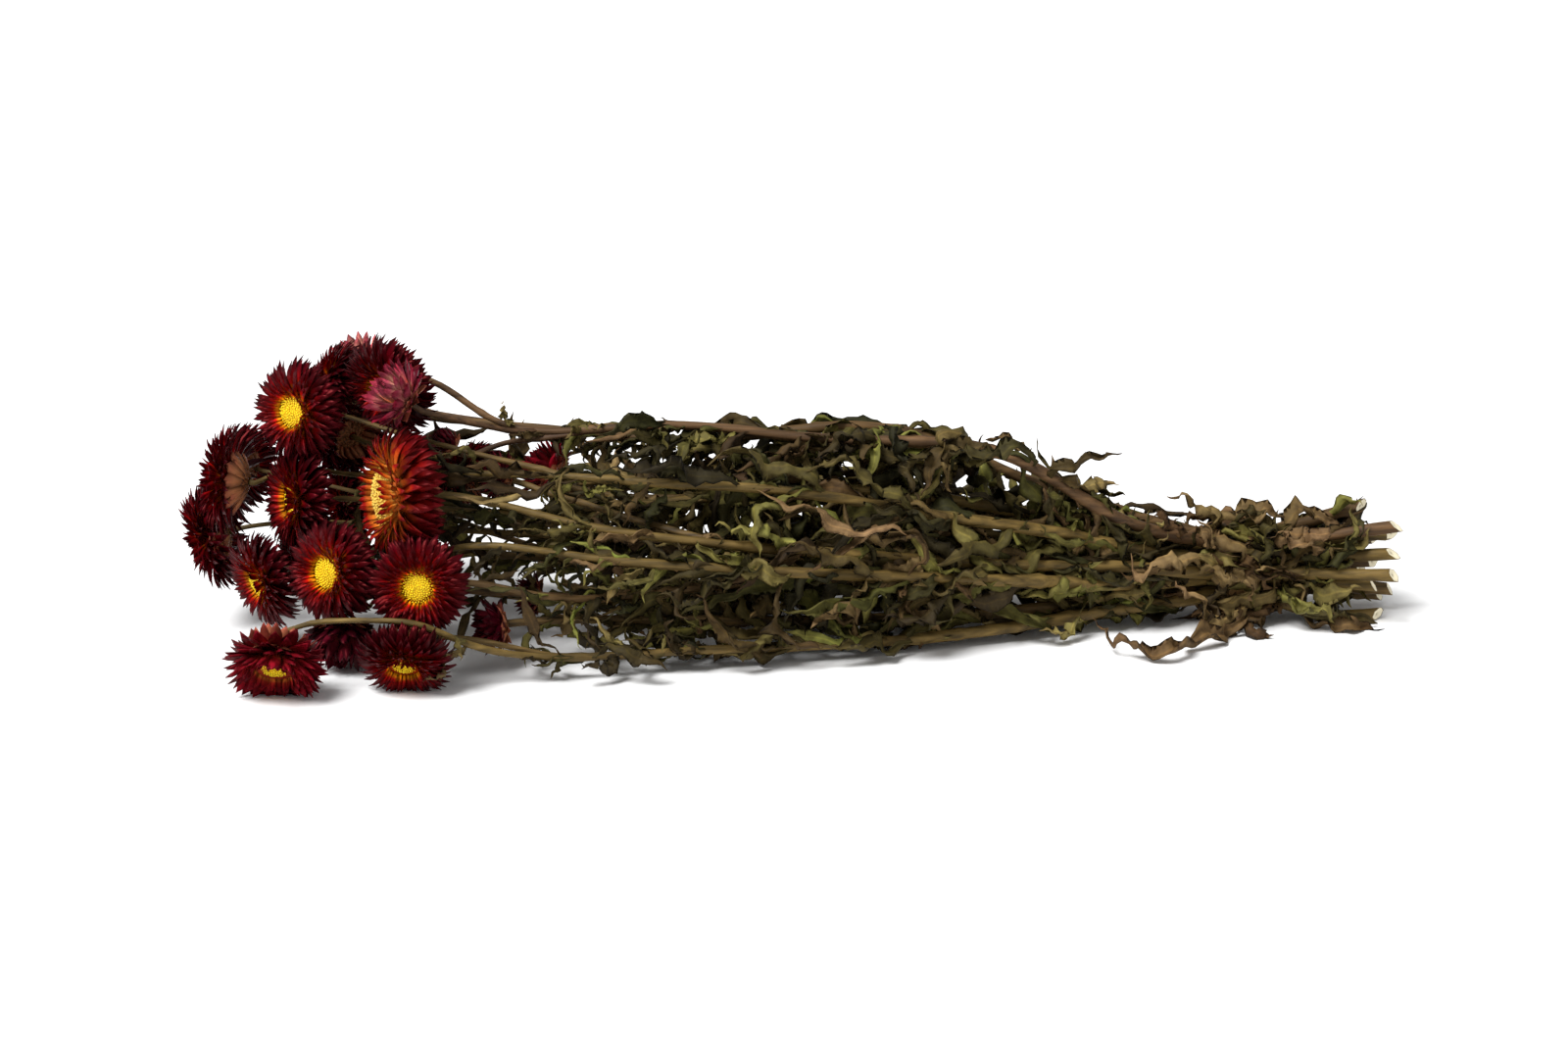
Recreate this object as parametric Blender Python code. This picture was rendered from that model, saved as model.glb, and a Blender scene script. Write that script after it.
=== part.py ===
"""A tied bunch of dried dark-red strawflowers, lying on its side.

Thirteen cut stems run through one elastic band. They fan out to twenty-five papery heads at -X,
and carry dried, curled leaves. Each leafy stem, each head's bracts, each yellow disc and the
band is an object of its own. Units are metres, +Z is up, and the bunch rests on z = 0.
"""

import math
import random

import bmesh
import bpy
import numpy as np
from mathutils import Vector
from mathutils.bvhtree import BVHTree

MM = 0.001

# The photograph's camera, which turns a pixel and a depth along Y into a place on the bunch
PHOTO_CENTRE = (800.0, 531.0)
PHOTO_WIDTH_PX = 1600.0
CAMERA_AZIMUTH = math.radians(-5.0)
CAMERA_ELEVATION = math.radians(16.0)
CAMERA_DISTANCE = 1.66
CAMERA_TARGET = (-0.003, 0.0, 0.0505)
LENS_MM = 85.0
SENSOR_MM = 36.0

# The band, and the stems packed in it as on a honeycomb
TIE_X = 0.2015
TIE_HEIGHT = 0.0245
TIE_HALF_WIDTH = 0.0045
STEM_SPACING = 0.0074
STEM_RADIUS_AT_TIE = 0.0035
STEM_RADIUS_AT_HEAD = 0.0012
BAND_GAP = 0.0004
BAND_THICKNESS = 0.0014
BAND_TURNS = 2
CUT_FLARE = 1.9
CUT_LENGTH = 0.068
CUT_SWELL = 0.08
BAND_SEGMENTS = 20

# The lowest stem's cut end lies flat on the ground, as do two of the heads
FOOT_STEM = 7
FOOT_LENGTH = 0.026
GROUND_HEADS = (13, 21)
GROUND_GAP = 0.0008

# Heads
BRACTS_ROUND = 11
HEAD_RADIUS = 0.020
SEAT_GAP = 0.0003
BRACT_THICKNESS = 0.0009

# Leaves
LEAF_THICKNESS = 0.0014
LEAF_CLEARANCE = 0.0004
LEAF_TRIES = 60
LEAF_SEED = 13
LEAF_LENGTH = 0.060
LEAF_SPACING = 0.045
LEAF_SLIMNESS = 0.088
LEAF_STRAY = (0.007, 0.013)
LEAF_STRAY_X = 0.10
LEAF_SHARPEST = 0.45
SLIVER = 0.00003
LEAF_END_X = 0.264

STEM_SIDES = 6
BRANCH_SIDES = 4
STEM_GAP = 0.0014
PATH_STEP = 0.005
RING_STEP = 0.031

# Each head: pixel, depth in mm, the way it faces, radius in mm and its form
HEADS = {
    1: ((303, 420), -12, (-0.66, -0.74, 0.12), 20, "open"),
    2: ((334, 394), 34, (-0.80, 0.05, 0.55), 20, "open"),
    3: ((366, 368), 68, (-0.30, 0.50, 0.80), 15, "half"),
    4: ((396, 397), 6, (-0.70, -0.60, -0.30), 21, "open"),
    5: ((410, 406), -26, (-0.75, -0.25, 0.60), 14, "half"),
    6: ((236, 490), 0, (-0.93, 0.25, 0.05), 22, "open"),
    7: ((218, 547), 28, (-0.93, 0.10, -0.30), 21, "open"),
    8: ((304, 510), -16, (-0.93, -0.33, 0.05), 20, "open"),
    9: ((402, 505), -38, (-0.95, -0.28, 0.05), 26, "old"),
    10: ((338, 584), -50, (-0.66, -0.72, 0.15), 20, "open"),
    11: ((268, 592), -20, (-0.84, -0.45, -0.25), 19, "open"),
    12: ((427, 598), -68, (-0.15, -0.98, 0.05), 19.5, "open"),
    13: ((281, 662), -80, (-0.12, -0.70, -0.70), 20, "open"),
    14: ((352, 652), -42, (-0.15, -0.60, -0.78), 15, "half"),
    15: ((413, 674), -78, (-0.10, -0.72, -0.68), 17, "open"),
    16: ((506, 638), -48, (-0.97, -0.20, -0.05), 14, "half"),
    17: ((458, 453), -5, (-0.70, -0.10, 0.70), 10, "bud"),
    18: ((560, 480), 8, (-0.75, 0.30, 0.55), 16, "half"),
    19: ((512, 487), -8, (-0.90, 0.00, 0.30), 13, "half"),
    20: ((544, 607), 12, (-0.95, -0.10, 0.10), 12, "half"),
}

# Heads on the far side, which the photograph doesn't show: place in mm, facing, radius, form
FAR_HEADS = {
    21: ((-214, 72, 24), (-0.55, 0.70, -0.45), 19, "open"),
    22: ((-200, 66, 80), (-0.55, 0.80, 0.20), 20, "open"),
    23: ((-160, 88, 48), (-0.30, 0.93, 0.10), 19, "open"),
    24: ((-145, 22, 70), (-0.60, 0.45, 0.55), 16, "open"),
    25: ((-246, 58, 66), (-0.85, 0.50, 0.10), 18, "open"),
    26: ((-199, 61, 47), (-0.80, 0.15, -0.15), 16.5, "open"),
}

# A form's rings of bracts, outermost first: tilt from the face plane and tip bend in degrees,
# and length as a share of the head's radius
FORMS = {
    "open": [(-26, -14, 0.58), (8, -8, 0.63), (44, -6, 0.52)],
    "old": [(-48, -22, 0.52), (-14, -16, 0.60), (24, -14, 0.55)],
    "half": [(18, 14, 0.85), (50, 12, 0.95)],
    "bud": [(48, 18, 1.00), (70, 10, 1.15)],
}

# Each stem: place in the honeycomb (ring radius in spacings, degrees), head, stations between
# tie and head as (pixel, depth in mm), and branches as (head, X in mm where it leaves the stem)
ROOT3 = math.sqrt(3.0)
STEMS = {
    1: ((ROOT3, 120), 4, [((1160, 545), -14), ((1102, 508), -17), ((1050, 468), -17),
                          ((1000, 452), -14), ((930, 450), -10), ((800, 447), -8),
                          ((735, 433), -6), ((650, 433), -4), ((560, 443), 0),
                          ((500, 444), 2)], [(5, -112), (17, -84)]),
    2: ((ROOT3, 60), 2, [((1050, 492), 12), ((950, 446), 10), ((900, 430), 8),
                         ((816, 437), 8), ((709, 452), 12), ((600, 441), 16),
                         ((500, 431), 20)], [(3, -120)]),
    3: ((1, 150), 6, [((1050, 538), -24), ((950, 526), -36), ((860, 508), -42),
                          ((790, 498), -44), ((640, 492), -40), ((540, 482), -26)],
        [(1, -100)]),
    4: ((ROOT3, 180), 9, [((1050, 578), -26), ((900, 567), -44), ((790, 561), -50),
                      ((720, 553), -52), ((600, 540), -50)], [(19, -30)]),
    5: ((1, 210), 10, [((1050, 592), -34), ((900, 588), -54), ((700, 578), -62),
                       ((580, 568), -60), ((480, 550), -46)], []),
    6: ((1, 270), 16, [((1000, 628), -22), ((735, 633), -40)], []),
    7: ((ROOT3, 240), 13, [((1000, 645), -34), ((850, 658), -50), ((708, 663), -60),
                           ((590, 672), -66), ((496, 668), -72), ((408, 650), -76),
                           ((350, 634), -80)], [(15, -100)]),
    8: ((0, 0), 12, [((850, 590), -24), ((735, 596), -34), ((615, 612), -46),
                     ((530, 616), -52)], []),
    9: ((1, 90), 8, [((900, 500), -6), ((700, 510), -10), ((500, 525), -10)], [(18, 0)]),
    10: ((1, 330), 11, [((900, 600), 4), ((650, 610), -6), ((480, 605), -12)], [(14, -70)]),
    11: ((1, 30), 7, [((900, 540), 24), ((650, 550), 28)], [(25, -90), (20, -10)]),
    12: ((ROOT3, 300), 21, [((900, 575), 44), ((650, 575), 60)], [(23, -60), (26, -84)]),
    13: ((ROOT3, 0), 22, [((900, 500), 40), ((650, 490), 54)], [(24, -70)]),
}

# Leaves placed as the photograph shows them: stem, width in mm and stations (pixel, depth in mm)
SEEN_LEAVES = [
    (7, 13, [((1300, 628), -30), ((1288, 646), -38), ((1262, 653), -44), ((1226, 661), -56),
             ((1190, 671), -68), ((1160, 666), -64), ((1132, 653), -50), ((1112, 632), -38)]),
    (7, 9, [((1110, 622), -34), ((1100, 640), -38), ((1085, 650), -38), ((1064, 642), -42)]),
    (1, 9, [((1096, 505), -20), ((1080, 488), -20), ((1100, 474), -24), ((1122, 470), -26),
            ((1144, 460), -26)]),
    (1, 8, [((1096, 505), -17), ((1104, 498), -8), ((1122, 492), -2), ((1143, 494), 0)]),
    (3, 11, [((862, 509), -42), ((875, 548), -52), ((900, 556), -60), ((925, 544), -62),
             ((942, 566), -64), ((930, 590), -64)]),
    (1, 11, [((990, 452), -14), ((975, 438), -18), ((960, 450), -24), ((965, 480), -28),
             ((975, 500), -28)]),
    (2, 10, [((1040, 488), 12), ((1050, 470), 4), ((1032, 452), 0), ((1006, 450), -2)]),
    (1, 9, [((920, 452), -10), ((908, 438), -14), ((912, 452), -20), ((930, 480), -26),
            ((950, 506), -30)]),
    (3, 12, [((760, 498), -44), ((720, 486), -50), ((660, 480), -50), ((612, 486), -48)]),
    (1, 10, [((1232, 560), -12), ((1240, 532), -16), ((1222, 512), -18), ((1192, 506), -20)]),
    (5, 10, [((900, 588), -54), ((872, 574), -64), ((834, 562), -70), ((796, 558), -70)]),
    (5, 11, [((800, 584), -60), ((790, 612), -66), ((800, 645), -66), ((836, 664), -62)]),
]

def seen(pixel, depth_mm):
    """The place on the bunch that shows at a pixel of the photograph, at a depth along Y."""
    azimuth, elevation = CAMERA_AZIMUTH, CAMERA_ELEVATION
    back = np.array([
        math.sin(azimuth) * math.cos(elevation),
        -math.cos(azimuth) * math.cos(elevation),
        math.sin(elevation),
    ])
    right = np.array([math.cos(azimuth), math.sin(azimuth), 0.0])
    up = np.cross(back, right)
    focal_px = LENS_MM / SENSOR_MM * PHOTO_WIDTH_PX
    eye = np.array(CAMERA_TARGET) + back * CAMERA_DISTANCE
    across = (pixel[0] - PHOTO_CENTRE[0]) / focal_px
    above = (PHOTO_CENTRE[1] - pixel[1]) / focal_px
    ray = -back + right * across + up * above
    return eye + ray * ((depth_mm * MM - eye[1]) / ray[1])


def unit(vector):
    vector = np.asarray(vector, float)
    return vector / max(np.linalg.norm(vector), 1e-12)


def smooth_line(points, step):
    """A Catmull-Rom curve through the points, sampled about every step."""
    p = np.array(points, float)
    p = np.vstack([2 * p[0] - p[1], p, 2 * p[-1] - p[-2]])
    line = []
    for a, b, c, d in zip(p, p[1:], p[2:], p[3:]):
        count = max(2, round(np.linalg.norm(c - b) / step))
        knots = np.cumsum([0.0] + [max(np.linalg.norm(q - r), 1e-6) ** 0.5
                                   for q, r in ((b, a), (c, b), (d, c))])
        for t in np.linspace(knots[1], knots[2], count, endpoint=False):
            a1 = a + (b - a) * (t - knots[0]) / (knots[1] - knots[0])
            a2 = b + (c - b) * (t - knots[1]) / (knots[2] - knots[1])
            a3 = c + (d - c) * (t - knots[2]) / (knots[3] - knots[2])
            b1 = a1 + (a2 - a1) * (t - knots[0]) / (knots[2] - knots[0])
            b2 = a2 + (a3 - a2) * (t - knots[1]) / (knots[3] - knots[1])
            line.append(b1 + (b2 - b1) * (t - knots[1]) / (knots[2] - knots[1]))
    line.append(p[-2])
    return np.array(line)


def heads():
    """Every head as a dict: where its stem joins, the way it faces, its radius and its form."""
    made = {}
    for number, (pixel, depth, facing, radius, form) in HEADS.items():
        made[number] = (seen(pixel, depth), facing, radius, form)
    for number, (place, facing, radius, form) in FAR_HEADS.items():
        made[number] = (np.array(place) * MM, facing, radius, form)
    result = {}
    for number, (middle, facing, radius, form) in made.items():
        facing = unit(facing)
        scale = radius * MM / HEAD_RADIUS
        result[number] = {
            "base": middle - facing * 0.007 * scale,
            "facing": facing,
            "scale": scale,
            "form": form,
        }
        lowest = min(v[2] for v in placed(head_mesh, result[number])[0])
        wanted = 0.0 if number in GROUND_HEADS else max(lowest, GROUND_GAP)
        result[number]["base"][2] += wanted - lowest
    return result


def placed(build, head):
    """A head's mesh, in its place on the bunch."""
    turn = facing_frame(head["facing"])
    vertices, faces = build(head["form"], head["scale"])
    return [head["base"] + turn @ v for v in vertices], faces


def stem_radius(x):
    """A stem's radius by its place along the bunch: thick at the cut, slender at the head."""
    share = min(max((x + 0.20) / (TIE_X + 0.20), 0.0), 1.0)
    radius = STEM_RADIUS_AT_HEAD + (STEM_RADIUS_AT_TIE - STEM_RADIUS_AT_HEAD) * share**0.8
    return radius * (1 + CUT_SWELL * min(max((x - TIE_X - 0.02) / CUT_LENGTH, 0.0), 1.0))


def stem_paths(all_heads):
    """Lines of the stems and branches, bent clear of each other and of the heads.

    Returns {(stem, head): points from the cut end, or from the parent stem, to the head}.
    """
    paths, fixed = {}, {}
    for stem, ((ring, degrees), head, stations, branches) in STEMS.items():
        offset = ring * STEM_SPACING * np.array([math.cos(math.radians(degrees)),
                                                 math.sin(math.radians(degrees))])
        tie = np.array([TIE_X, offset[0], TIE_HEIGHT + offset[1]])
        reach = CUT_LENGTH + 0.006 * math.sin(stem * 2.3)
        flare = CUT_FLARE - 1 + 0.16 * math.sin(stem * 4.1)
        cut = tie + (reach, offset[0] * flare, offset[1] * flare)
        points = [cut]
        if stem == FOOT_STEM:
            cut[2] = STEM_RADIUS_AT_TIE * math.cos(math.pi / STEM_SIDES)
            points = [cut, cut - (FOOT_LENGTH, 0, 0)]
        half = np.array([TIE_HALF_WIDTH * 1.8, 0, 0])
        points += [tie + half, tie - half]
        points += [seen(pixel, depth) for pixel, depth in stations]
        points += approach(all_heads[head])
        paths[stem, head] = smooth_line(points, PATH_STEP)
        for branch_head, split_x in branches:
            line = paths[stem, head]
            start = next(i for i in range(len(line)) if line[i][0] < split_x * MM)
            ahead = line[start] + (line[min(start + 6, len(line) - 1)] - line[start]) * 0.8
            goal = approach(all_heads[branch_head])
            middle = ahead * 0.55 + goal[0] * 0.45
            paths[stem, branch_head] = smooth_line([line[start], middle, *goal], PATH_STEP)
    for key, line in paths.items():
        keep = np.zeros(len(line), bool)
        keep[-3:] = True
        keep |= line[:, 0] > TIE_X - 0.012
        if key[1] != STEMS[key[0]][1]:
            keep[:2] = True
        fixed[key] = keep
    return settle(paths, fixed, all_heads)


def approach(head):
    """The last stations of a stem: it comes in along the head's own axis."""
    base = head["base"] - head["facing"] * SEAT_GAP
    return [base - head["facing"] * 0.016 + np.array([0.004, 0, 0]),
            base - head["facing"] * 0.006, base]


def settle(paths, fixed, all_heads):
    """Pushes the lines apart until stems clear stems and heads, and keeps them smooth."""
    keys = list(paths)
    rounds = 90
    for _ in range(rounds):
        everything = np.vstack([paths[k] for k in keys])
        owner = np.concatenate([[k[0]] * len(paths[k]) for k in keys])
        target = np.concatenate([[k[1]] * len(paths[k]) for k in keys])
        radius = np.array([stem_radius(p[0]) for p in everything])
        push = np.zeros_like(everything)
        gap = everything[:, None] - everything[None]
        distance = np.linalg.norm(gap, axis=2) + 1e-9
        needed = (radius[:, None] + radius[None]) * 1.12 + STEM_GAP
        close = (distance < needed) & (owner[:, None] != owner[None])
        strength = np.where(close, (needed - distance) / distance, 0.0) * 0.5
        push += (gap * strength[:, :, None]).sum(1) / np.maximum(close.sum(1), 1)[:, None]
        for number, head in all_heads.items():
            middle = head["base"] + head["facing"] * 0.006 * head["scale"]
            away = everything - middle
            along = away @ head["facing"]
            aside = away - np.outer(along, head["facing"])
            wide = HEAD_RADIUS * head["scale"] + 0.004
            deep = 0.013 * head["scale"] + 0.003
            size = np.sqrt((np.linalg.norm(aside, axis=1) / wide) ** 2 + (along / deep) ** 2)
            inside = (size < 1) & (target != number)
            out = aside / wide**2 + np.outer(along, head["facing"]) / deep**2
            out /= np.linalg.norm(out, axis=1)[:, None] + 1e-9
            push += out * np.where(inside, (1 - size) * deep * 0.6, 0.0)[:, None]
        low = everything[:, 2] < radius + 0.0015
        push[:, 2] += np.where(low, radius + 0.0015 - everything[:, 2], 0.0)
        start = 0
        for k in keys:
            line, keep = paths[k], fixed[k]
            move = push[start:start + len(line)]
            start += len(line)
            move[keep] = 0
            for _ in range(3):
                move[1:-1] = (move[:-2] + 2 * move[1:-1] + move[2:]) / 4
                move[keep] = 0
            line = line + move
            relaxed = line.copy()
            relaxed[1:-1] = line[1:-1] * 0.8 + (line[:-2] + line[2:]) * 0.1
            relaxed[keep] = line[keep]
            paths[k] = relaxed
        for k in keys:
            if k[1] != STEMS[k[0]][1]:
                parent = paths[k[0], STEMS[k[0]][1]]
                nearest = np.argmin(np.linalg.norm(parent - paths[k][0], axis=1))
                paths[k][0] = parent[nearest]
    return paths


def rings_of(line, step):
    """Every few points of a line, with both ends, the foot and the tie's straight stretch kept."""
    picked = [0]
    for i in range(1, len(line) - 2):
        near_tie = abs(line[i][0] - TIE_X) < TIE_HALF_WIDTH * 2.2
        gone = np.linalg.norm(line[i] - line[picked[-1]])
        curved = np.dot(unit(line[i] - line[picked[-1]]),
                        unit(line[min(i + 2, len(line) - 1)] - line[i])) < 0.955
        if gone > step or (near_tie and gone > TIE_HALF_WIDTH * 1.7) or (curved and gone > 0.008):
            picked.append(i)
    if np.linalg.norm(line[-3] - line[picked[-1]]) > 0.003:
        picked.append(len(line) - 3)
    picked.append(len(line) - 1)
    return line[picked]


def flat_foot(rings, radii):
    """The lowest stem's rings with a level, even stretch at the cut end, which it lies on."""
    cut = rings[0]
    level = [cut - (FOOT_LENGTH * share, 0, 0) for share in (0, 0.5, 1)]
    kept = [i for i, p in enumerate(rings) if p[0] < cut[0] - FOOT_LENGTH - 0.004]
    return (np.array(level + [rings[i] for i in kept]),
            [STEM_RADIUS_AT_TIE] * 3 + [radii[i] for i in kept])


def tube(line, radii, sides, facing):
    """Vertices and faces of a closed tube with flats above and below, its end square to facing."""
    vertices, faces = [], []
    for i, point in enumerate(line):
        ahead = unit(line[min(i + 1, len(line) - 1)] - line[max(i - 1, 0)])
        if i == len(line) - 1:
            ahead = facing
        side = unit(np.cross(ahead, (0.0, 0.0, 1.0)))
        top = np.cross(side, ahead)
        for k in range(sides):
            turn = 2 * math.pi * (k + 0.5) / sides
            vertices.append(point + radii[i] * (math.cos(turn) * top + math.sin(turn) * side))
    for i in range(len(line) - 1):
        for k in range(sides):
            n = (k + 1) % sides
            a, b = i * sides, (i + 1) * sides
            faces.append((a + k, a + n, b + n, b + k))
    faces.append(tuple(range(sides))[::-1])
    last = (len(line) - 1) * sides
    faces.append(tuple(last + k for k in range(sides)))
    return vertices, faces


def head_mesh(form, scale):
    """The red body of a head: a cup-shaped core whose skin runs out into pointed bracts."""
    bands = FORMS[form]
    count = BRACTS_ROUND if form in ("open", "old") else 9
    radii = [2.3, 5.6, 7.6, 8.0, 7.0] if len(bands) == 3 else [2.0, 5.4, 6.0, 3.8]
    heights = [0.0, 1.6, 4.2, 7.2, 9.2] if len(bands) == 3 else [0.0, 1.8, 5.0, 8.4]
    if form == "old":
        radii = [2.3, 6.6, 9.0, 10.0, 9.6]
    vertices, faces = [], []
    for ring, (radius, height) in enumerate(zip(radii, heights)):
        for k in range(count):
            turn = 2 * math.pi * (k + 0.5 * (ring % 2)) / count
            vertices.append(np.array([radius * math.cos(turn), radius * math.sin(turn), height]))
    faces.append(tuple(range(count))[::-1])
    faces.append(tuple((len(radii) - 1) * count + k for k in range(count)))
    for ring in range(len(radii) - 1):
        low, high = ring * count, (ring + 1) * count
        for k in range(count):
            shift = k if ring % 2 == 0 else (k + 1) % count
            before = (shift - 1) % count if ring % 2 == 0 else k
            n = (k + 1) % count
            root = (low + k, low + n, high + shift)
            faces.append((low + k, high + shift, high + before))
            if ring == 0:
                faces.append(root)
                continue
            tilt, bend, length = bands[ring - 1]
            slim = ring == 3
            grow_bract(vertices, faces, root, tilt, bend, length * HEAD_RADIUS / MM, count, slim)
    return [v * MM * scale for v in vertices], faces


def grow_bract(vertices, faces, root, tilt, bend, length, count, slim):
    """Draws one triangle of the core out into a pointed bract, keeled unless it is slim."""
    a, b, c = (vertices[i] for i in root)
    middle = (a + b + c) / 3
    outward = unit((middle[0], middle[1], 0.0))
    axis = np.array([0.0, 0.0, 1.0])
    across = unit(b - a)
    t0, t1 = math.radians(tilt), math.radians(tilt + bend)
    along = math.cos(t0) * outward + math.sin(t0) * axis
    lift = math.cos(t0) * axis - math.sin(t0) * outward
    widest = middle + along * length * 0.58
    tip = widest + (math.cos(t1) * outward + math.sin(t1) * axis) * length * 0.42
    slot = 2 * math.pi * np.linalg.norm(widest[:2]) / count
    half = min(slot * 0.45, length * 0.30)
    thick = BRACT_THICKNESS / MM
    first = len(vertices)
    if slim:
        vertices.append(tip)
        faces.extend((root[i], root[(i + 1) % 3], first) for i in range(3))
        return
    vertices += [widest - across * half, widest + across * half, widest + lift * thick, tip]
    ring = (first, first + 1, first + 2)
    for i in range(3):
        j = (i + 1) % 3
        faces.append((root[i], root[j], ring[j]))
        faces.append((root[i], ring[j], ring[i]))
        faces.append((ring[i], ring[j], first + 3))


def disc_mesh(form, scale):
    """The yellow disc: a low dome whose skin is raised in florets by a checker formula."""
    radius, height = (6.3, 2.6) if form == "open" else (8.6, 4.2)
    floor_z = 9.2 + SEAT_GAP / MM / scale
    segments = 10
    vertices, faces = [], []
    for ring, (share, rise) in enumerate(((0.94, 0.0), (1.0, 0.35), (0.62, 0.85))):
        for k in range(segments):
            turn = 2 * math.pi * (k + 0.5 * ring) / segments
            floret = 0.5 * (-1) ** k if ring else 0.0
            vertices.append(np.array([radius * share * math.cos(turn),
                                      radius * share * math.sin(turn),
                                      floor_z + height * rise + floret]))
    top = len(vertices)
    vertices.append(np.array([0.0, 0.0, floor_z + height]))
    faces.append(tuple(range(segments))[::-1])
    for ring in range(2):
        for k in range(segments):
            n = (k + 1) % segments
            low, high = ring * segments, (ring + 1) * segments
            faces.append((low + k, low + n, high + k))
            faces.append((low + n, high + n, high + k))
    for k in range(segments):
        faces.append((2 * segments + k, 2 * segments + (k + 1) % segments, top))
    return [v * MM * scale for v in vertices], faces


def facing_frame(facing):
    """Rotation whose Z is the head's axis, with the same roll for every head."""
    z = unit(facing)
    x = unit(np.cross((0.31, 0.17, 0.93), z))
    return np.array([x, np.cross(z, x), z]).T


def leaf_draw(stem, slot, attempt):
    """One seeded draw of how a leaf leaves its stem and curls."""
    draw = random.Random(LEAF_SEED * 100000 + stem * 5000 + slot * 100 + attempt)
    return {
        "turn": draw.uniform(0, 2 * math.pi),
        "length": draw.uniform(0.7, 1.2),
        "width": draw.uniform(0.75, 1.25),
        "rise": draw.uniform(0.12, 0.8),
        "bend": draw.uniform(-2.4, 2.4),
        "sway": draw.uniform(-1.5, 1.5),
        "twist": draw.uniform(-3.0, 3.0),
        "back": draw.random(),
        "shift": draw.uniform(-0.008, 0.008),
        "cup": draw.uniform(-0.42, 0.42),
    }


def leaf_slots():
    """(stem, slot, X, full length) of every leaf that a rule places."""
    for stem in STEMS:
        x = 0.232 + 0.012 * math.sin(stem * 1.7)
        slot = 0
        while x > -0.118:
            size = LEAF_LENGTH if x > 0 else LEAF_LENGTH * (1 + x / 0.19)
            if abs(x - TIE_X) > 0.012:
                yield stem, slot, x, size
            slot += 1
            x -= LEAF_SPACING + 0.010 * math.sin(slot * 2.1 + stem)


def drawn_leaf(line, x, size, draw):
    """Centre line, width direction and half widths of a leaf grown from a stem's line."""
    start = int(np.argmin(np.abs(line[:, 0] - x - draw["shift"])))
    start = min(max(start, 1), len(line) - 2)
    along = unit(line[start + 1] - line[start - 1])
    if draw["back"] < (0.40 if x > 0.10 else 0.12):
        along = -along
    side = unit(np.cross(along, (0.0, 0.0, 1.0)))
    out = math.cos(draw["turn"]) * side + math.sin(draw["turn"]) * np.cross(side, along)
    heading = unit(along + out * draw["rise"])
    across = unit(np.cross(heading, out))
    length = size * draw["length"]
    steps = 24
    point, points, sides_ = line[start].copy(), [], []
    bend = -draw["rise"] * 0.9 + draw["bend"]
    for i in range(steps + 1):
        points.append(point.copy())
        sides_.append(across.copy())
        normal = np.cross(across, heading)
        curl = (bend * normal + draw["sway"] * across) / steps
        heading = unit(heading + curl)
        across = unit(across - heading * (across @ heading))
        across = unit(across + np.cross(heading, across) * draw["twist"] / steps)
        point = point + heading * length / steps
    return np.array(points), np.array(sides_), LEAF_SLIMNESS * size * draw["width"]


def seen_leaf(stations):
    """Centre line and width directions of a leaf placed from the photograph."""
    line = smooth_line([seen(pixel, depth) for pixel, depth in stations], 0.002)
    picks = np.linspace(0, len(line) - 1, 25).round().astype(int)
    line = line[picks]
    sides_ = []
    for i in range(len(line)):
        ahead = unit(line[min(i + 1, 24)] - line[max(i - 1, 0)])
        turn = 0.9 + 1.6 * i / 24
        base = unit(np.cross(ahead, (0.2, 1.0, 0.35)))
        sides_.append(unit(base * math.cos(turn) + np.cross(ahead, base) * math.sin(turn)))
    return line, np.array(sides_)


LEAF_SECTIONS = ((0, 0.16), (5, 0.62), (11, 1.0), (18, 0.78), (24, 0.0))


def leaf_mesh(points, across, half, cup, grow=0.0):
    """A thin folded blade: four points a section, drawn to a tip, with waved edges.

    Both of its faces are split along the same diagonals, so that they never cross.
    """
    vertices, faces = [], []
    thick = LEAF_THICKNESS / 2 + grow
    for n, (i, width) in enumerate(LEAF_SECTIONS):
        ahead = unit(points[min(i + 1, 24)] - points[max(i - 1, 0)])
        normal = np.cross(across[i], ahead)
        if width == 0:
            vertices.append(points[i] + ahead * grow)
            break
        reach = half * width + grow
        wave = half * 0.28 * (-1) ** n * (n > 1)
        fold = half * width * cup
        vertices += [
            points[i] - across[i] * reach + normal * wave,
            points[i] + normal * (thick - fold),
            points[i] + across[i] * reach - normal * wave,
            points[i] - normal * (thick + fold),
        ]
    sections = len(LEAF_SECTIONS) - 1
    faces.append((0, 1, 2))
    faces.append((0, 2, 3))
    for s in range(sections - 1):
        for k in range(4):
            a, b = s * 4 + k, s * 4 + (k + 1) % 4
            c, d = b + 4, a + 4
            if k < 2:
                faces += [(a, d, c), (a, c, b)]
            else:
                faces += [(a, d, b), (b, d, c)]
    last = (sections - 1) * 4
    for k in range(4):
        faces.append((last + k, sections * 4, last + (k + 1) % 4))
    return vertices, faces


def clear_of(vertices, faces, trees):
    """True if the shape touches none of the trees and stays above the ground."""
    if min(v[2] for v in vertices) < 0.0006:
        return False
    tree = BVHTree.FromPolygons([Vector(v) for v in vertices], faces)
    return not any(tree.overlap(other) for other in trees)


def tree_of(vertices, faces):
    return BVHTree.FromPolygons([Vector(v) for v in vertices], faces)


def material(name, colour, roughness):
    made = bpy.data.materials.new(name)
    made.use_nodes = True
    shader = made.node_tree.nodes["Principled BSDF"]
    shader.inputs["Base Color"].default_value = (*colour, 1)
    shader.inputs["Roughness"].default_value = roughness
    shader.inputs["Metallic"].default_value = 0
    return made


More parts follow.
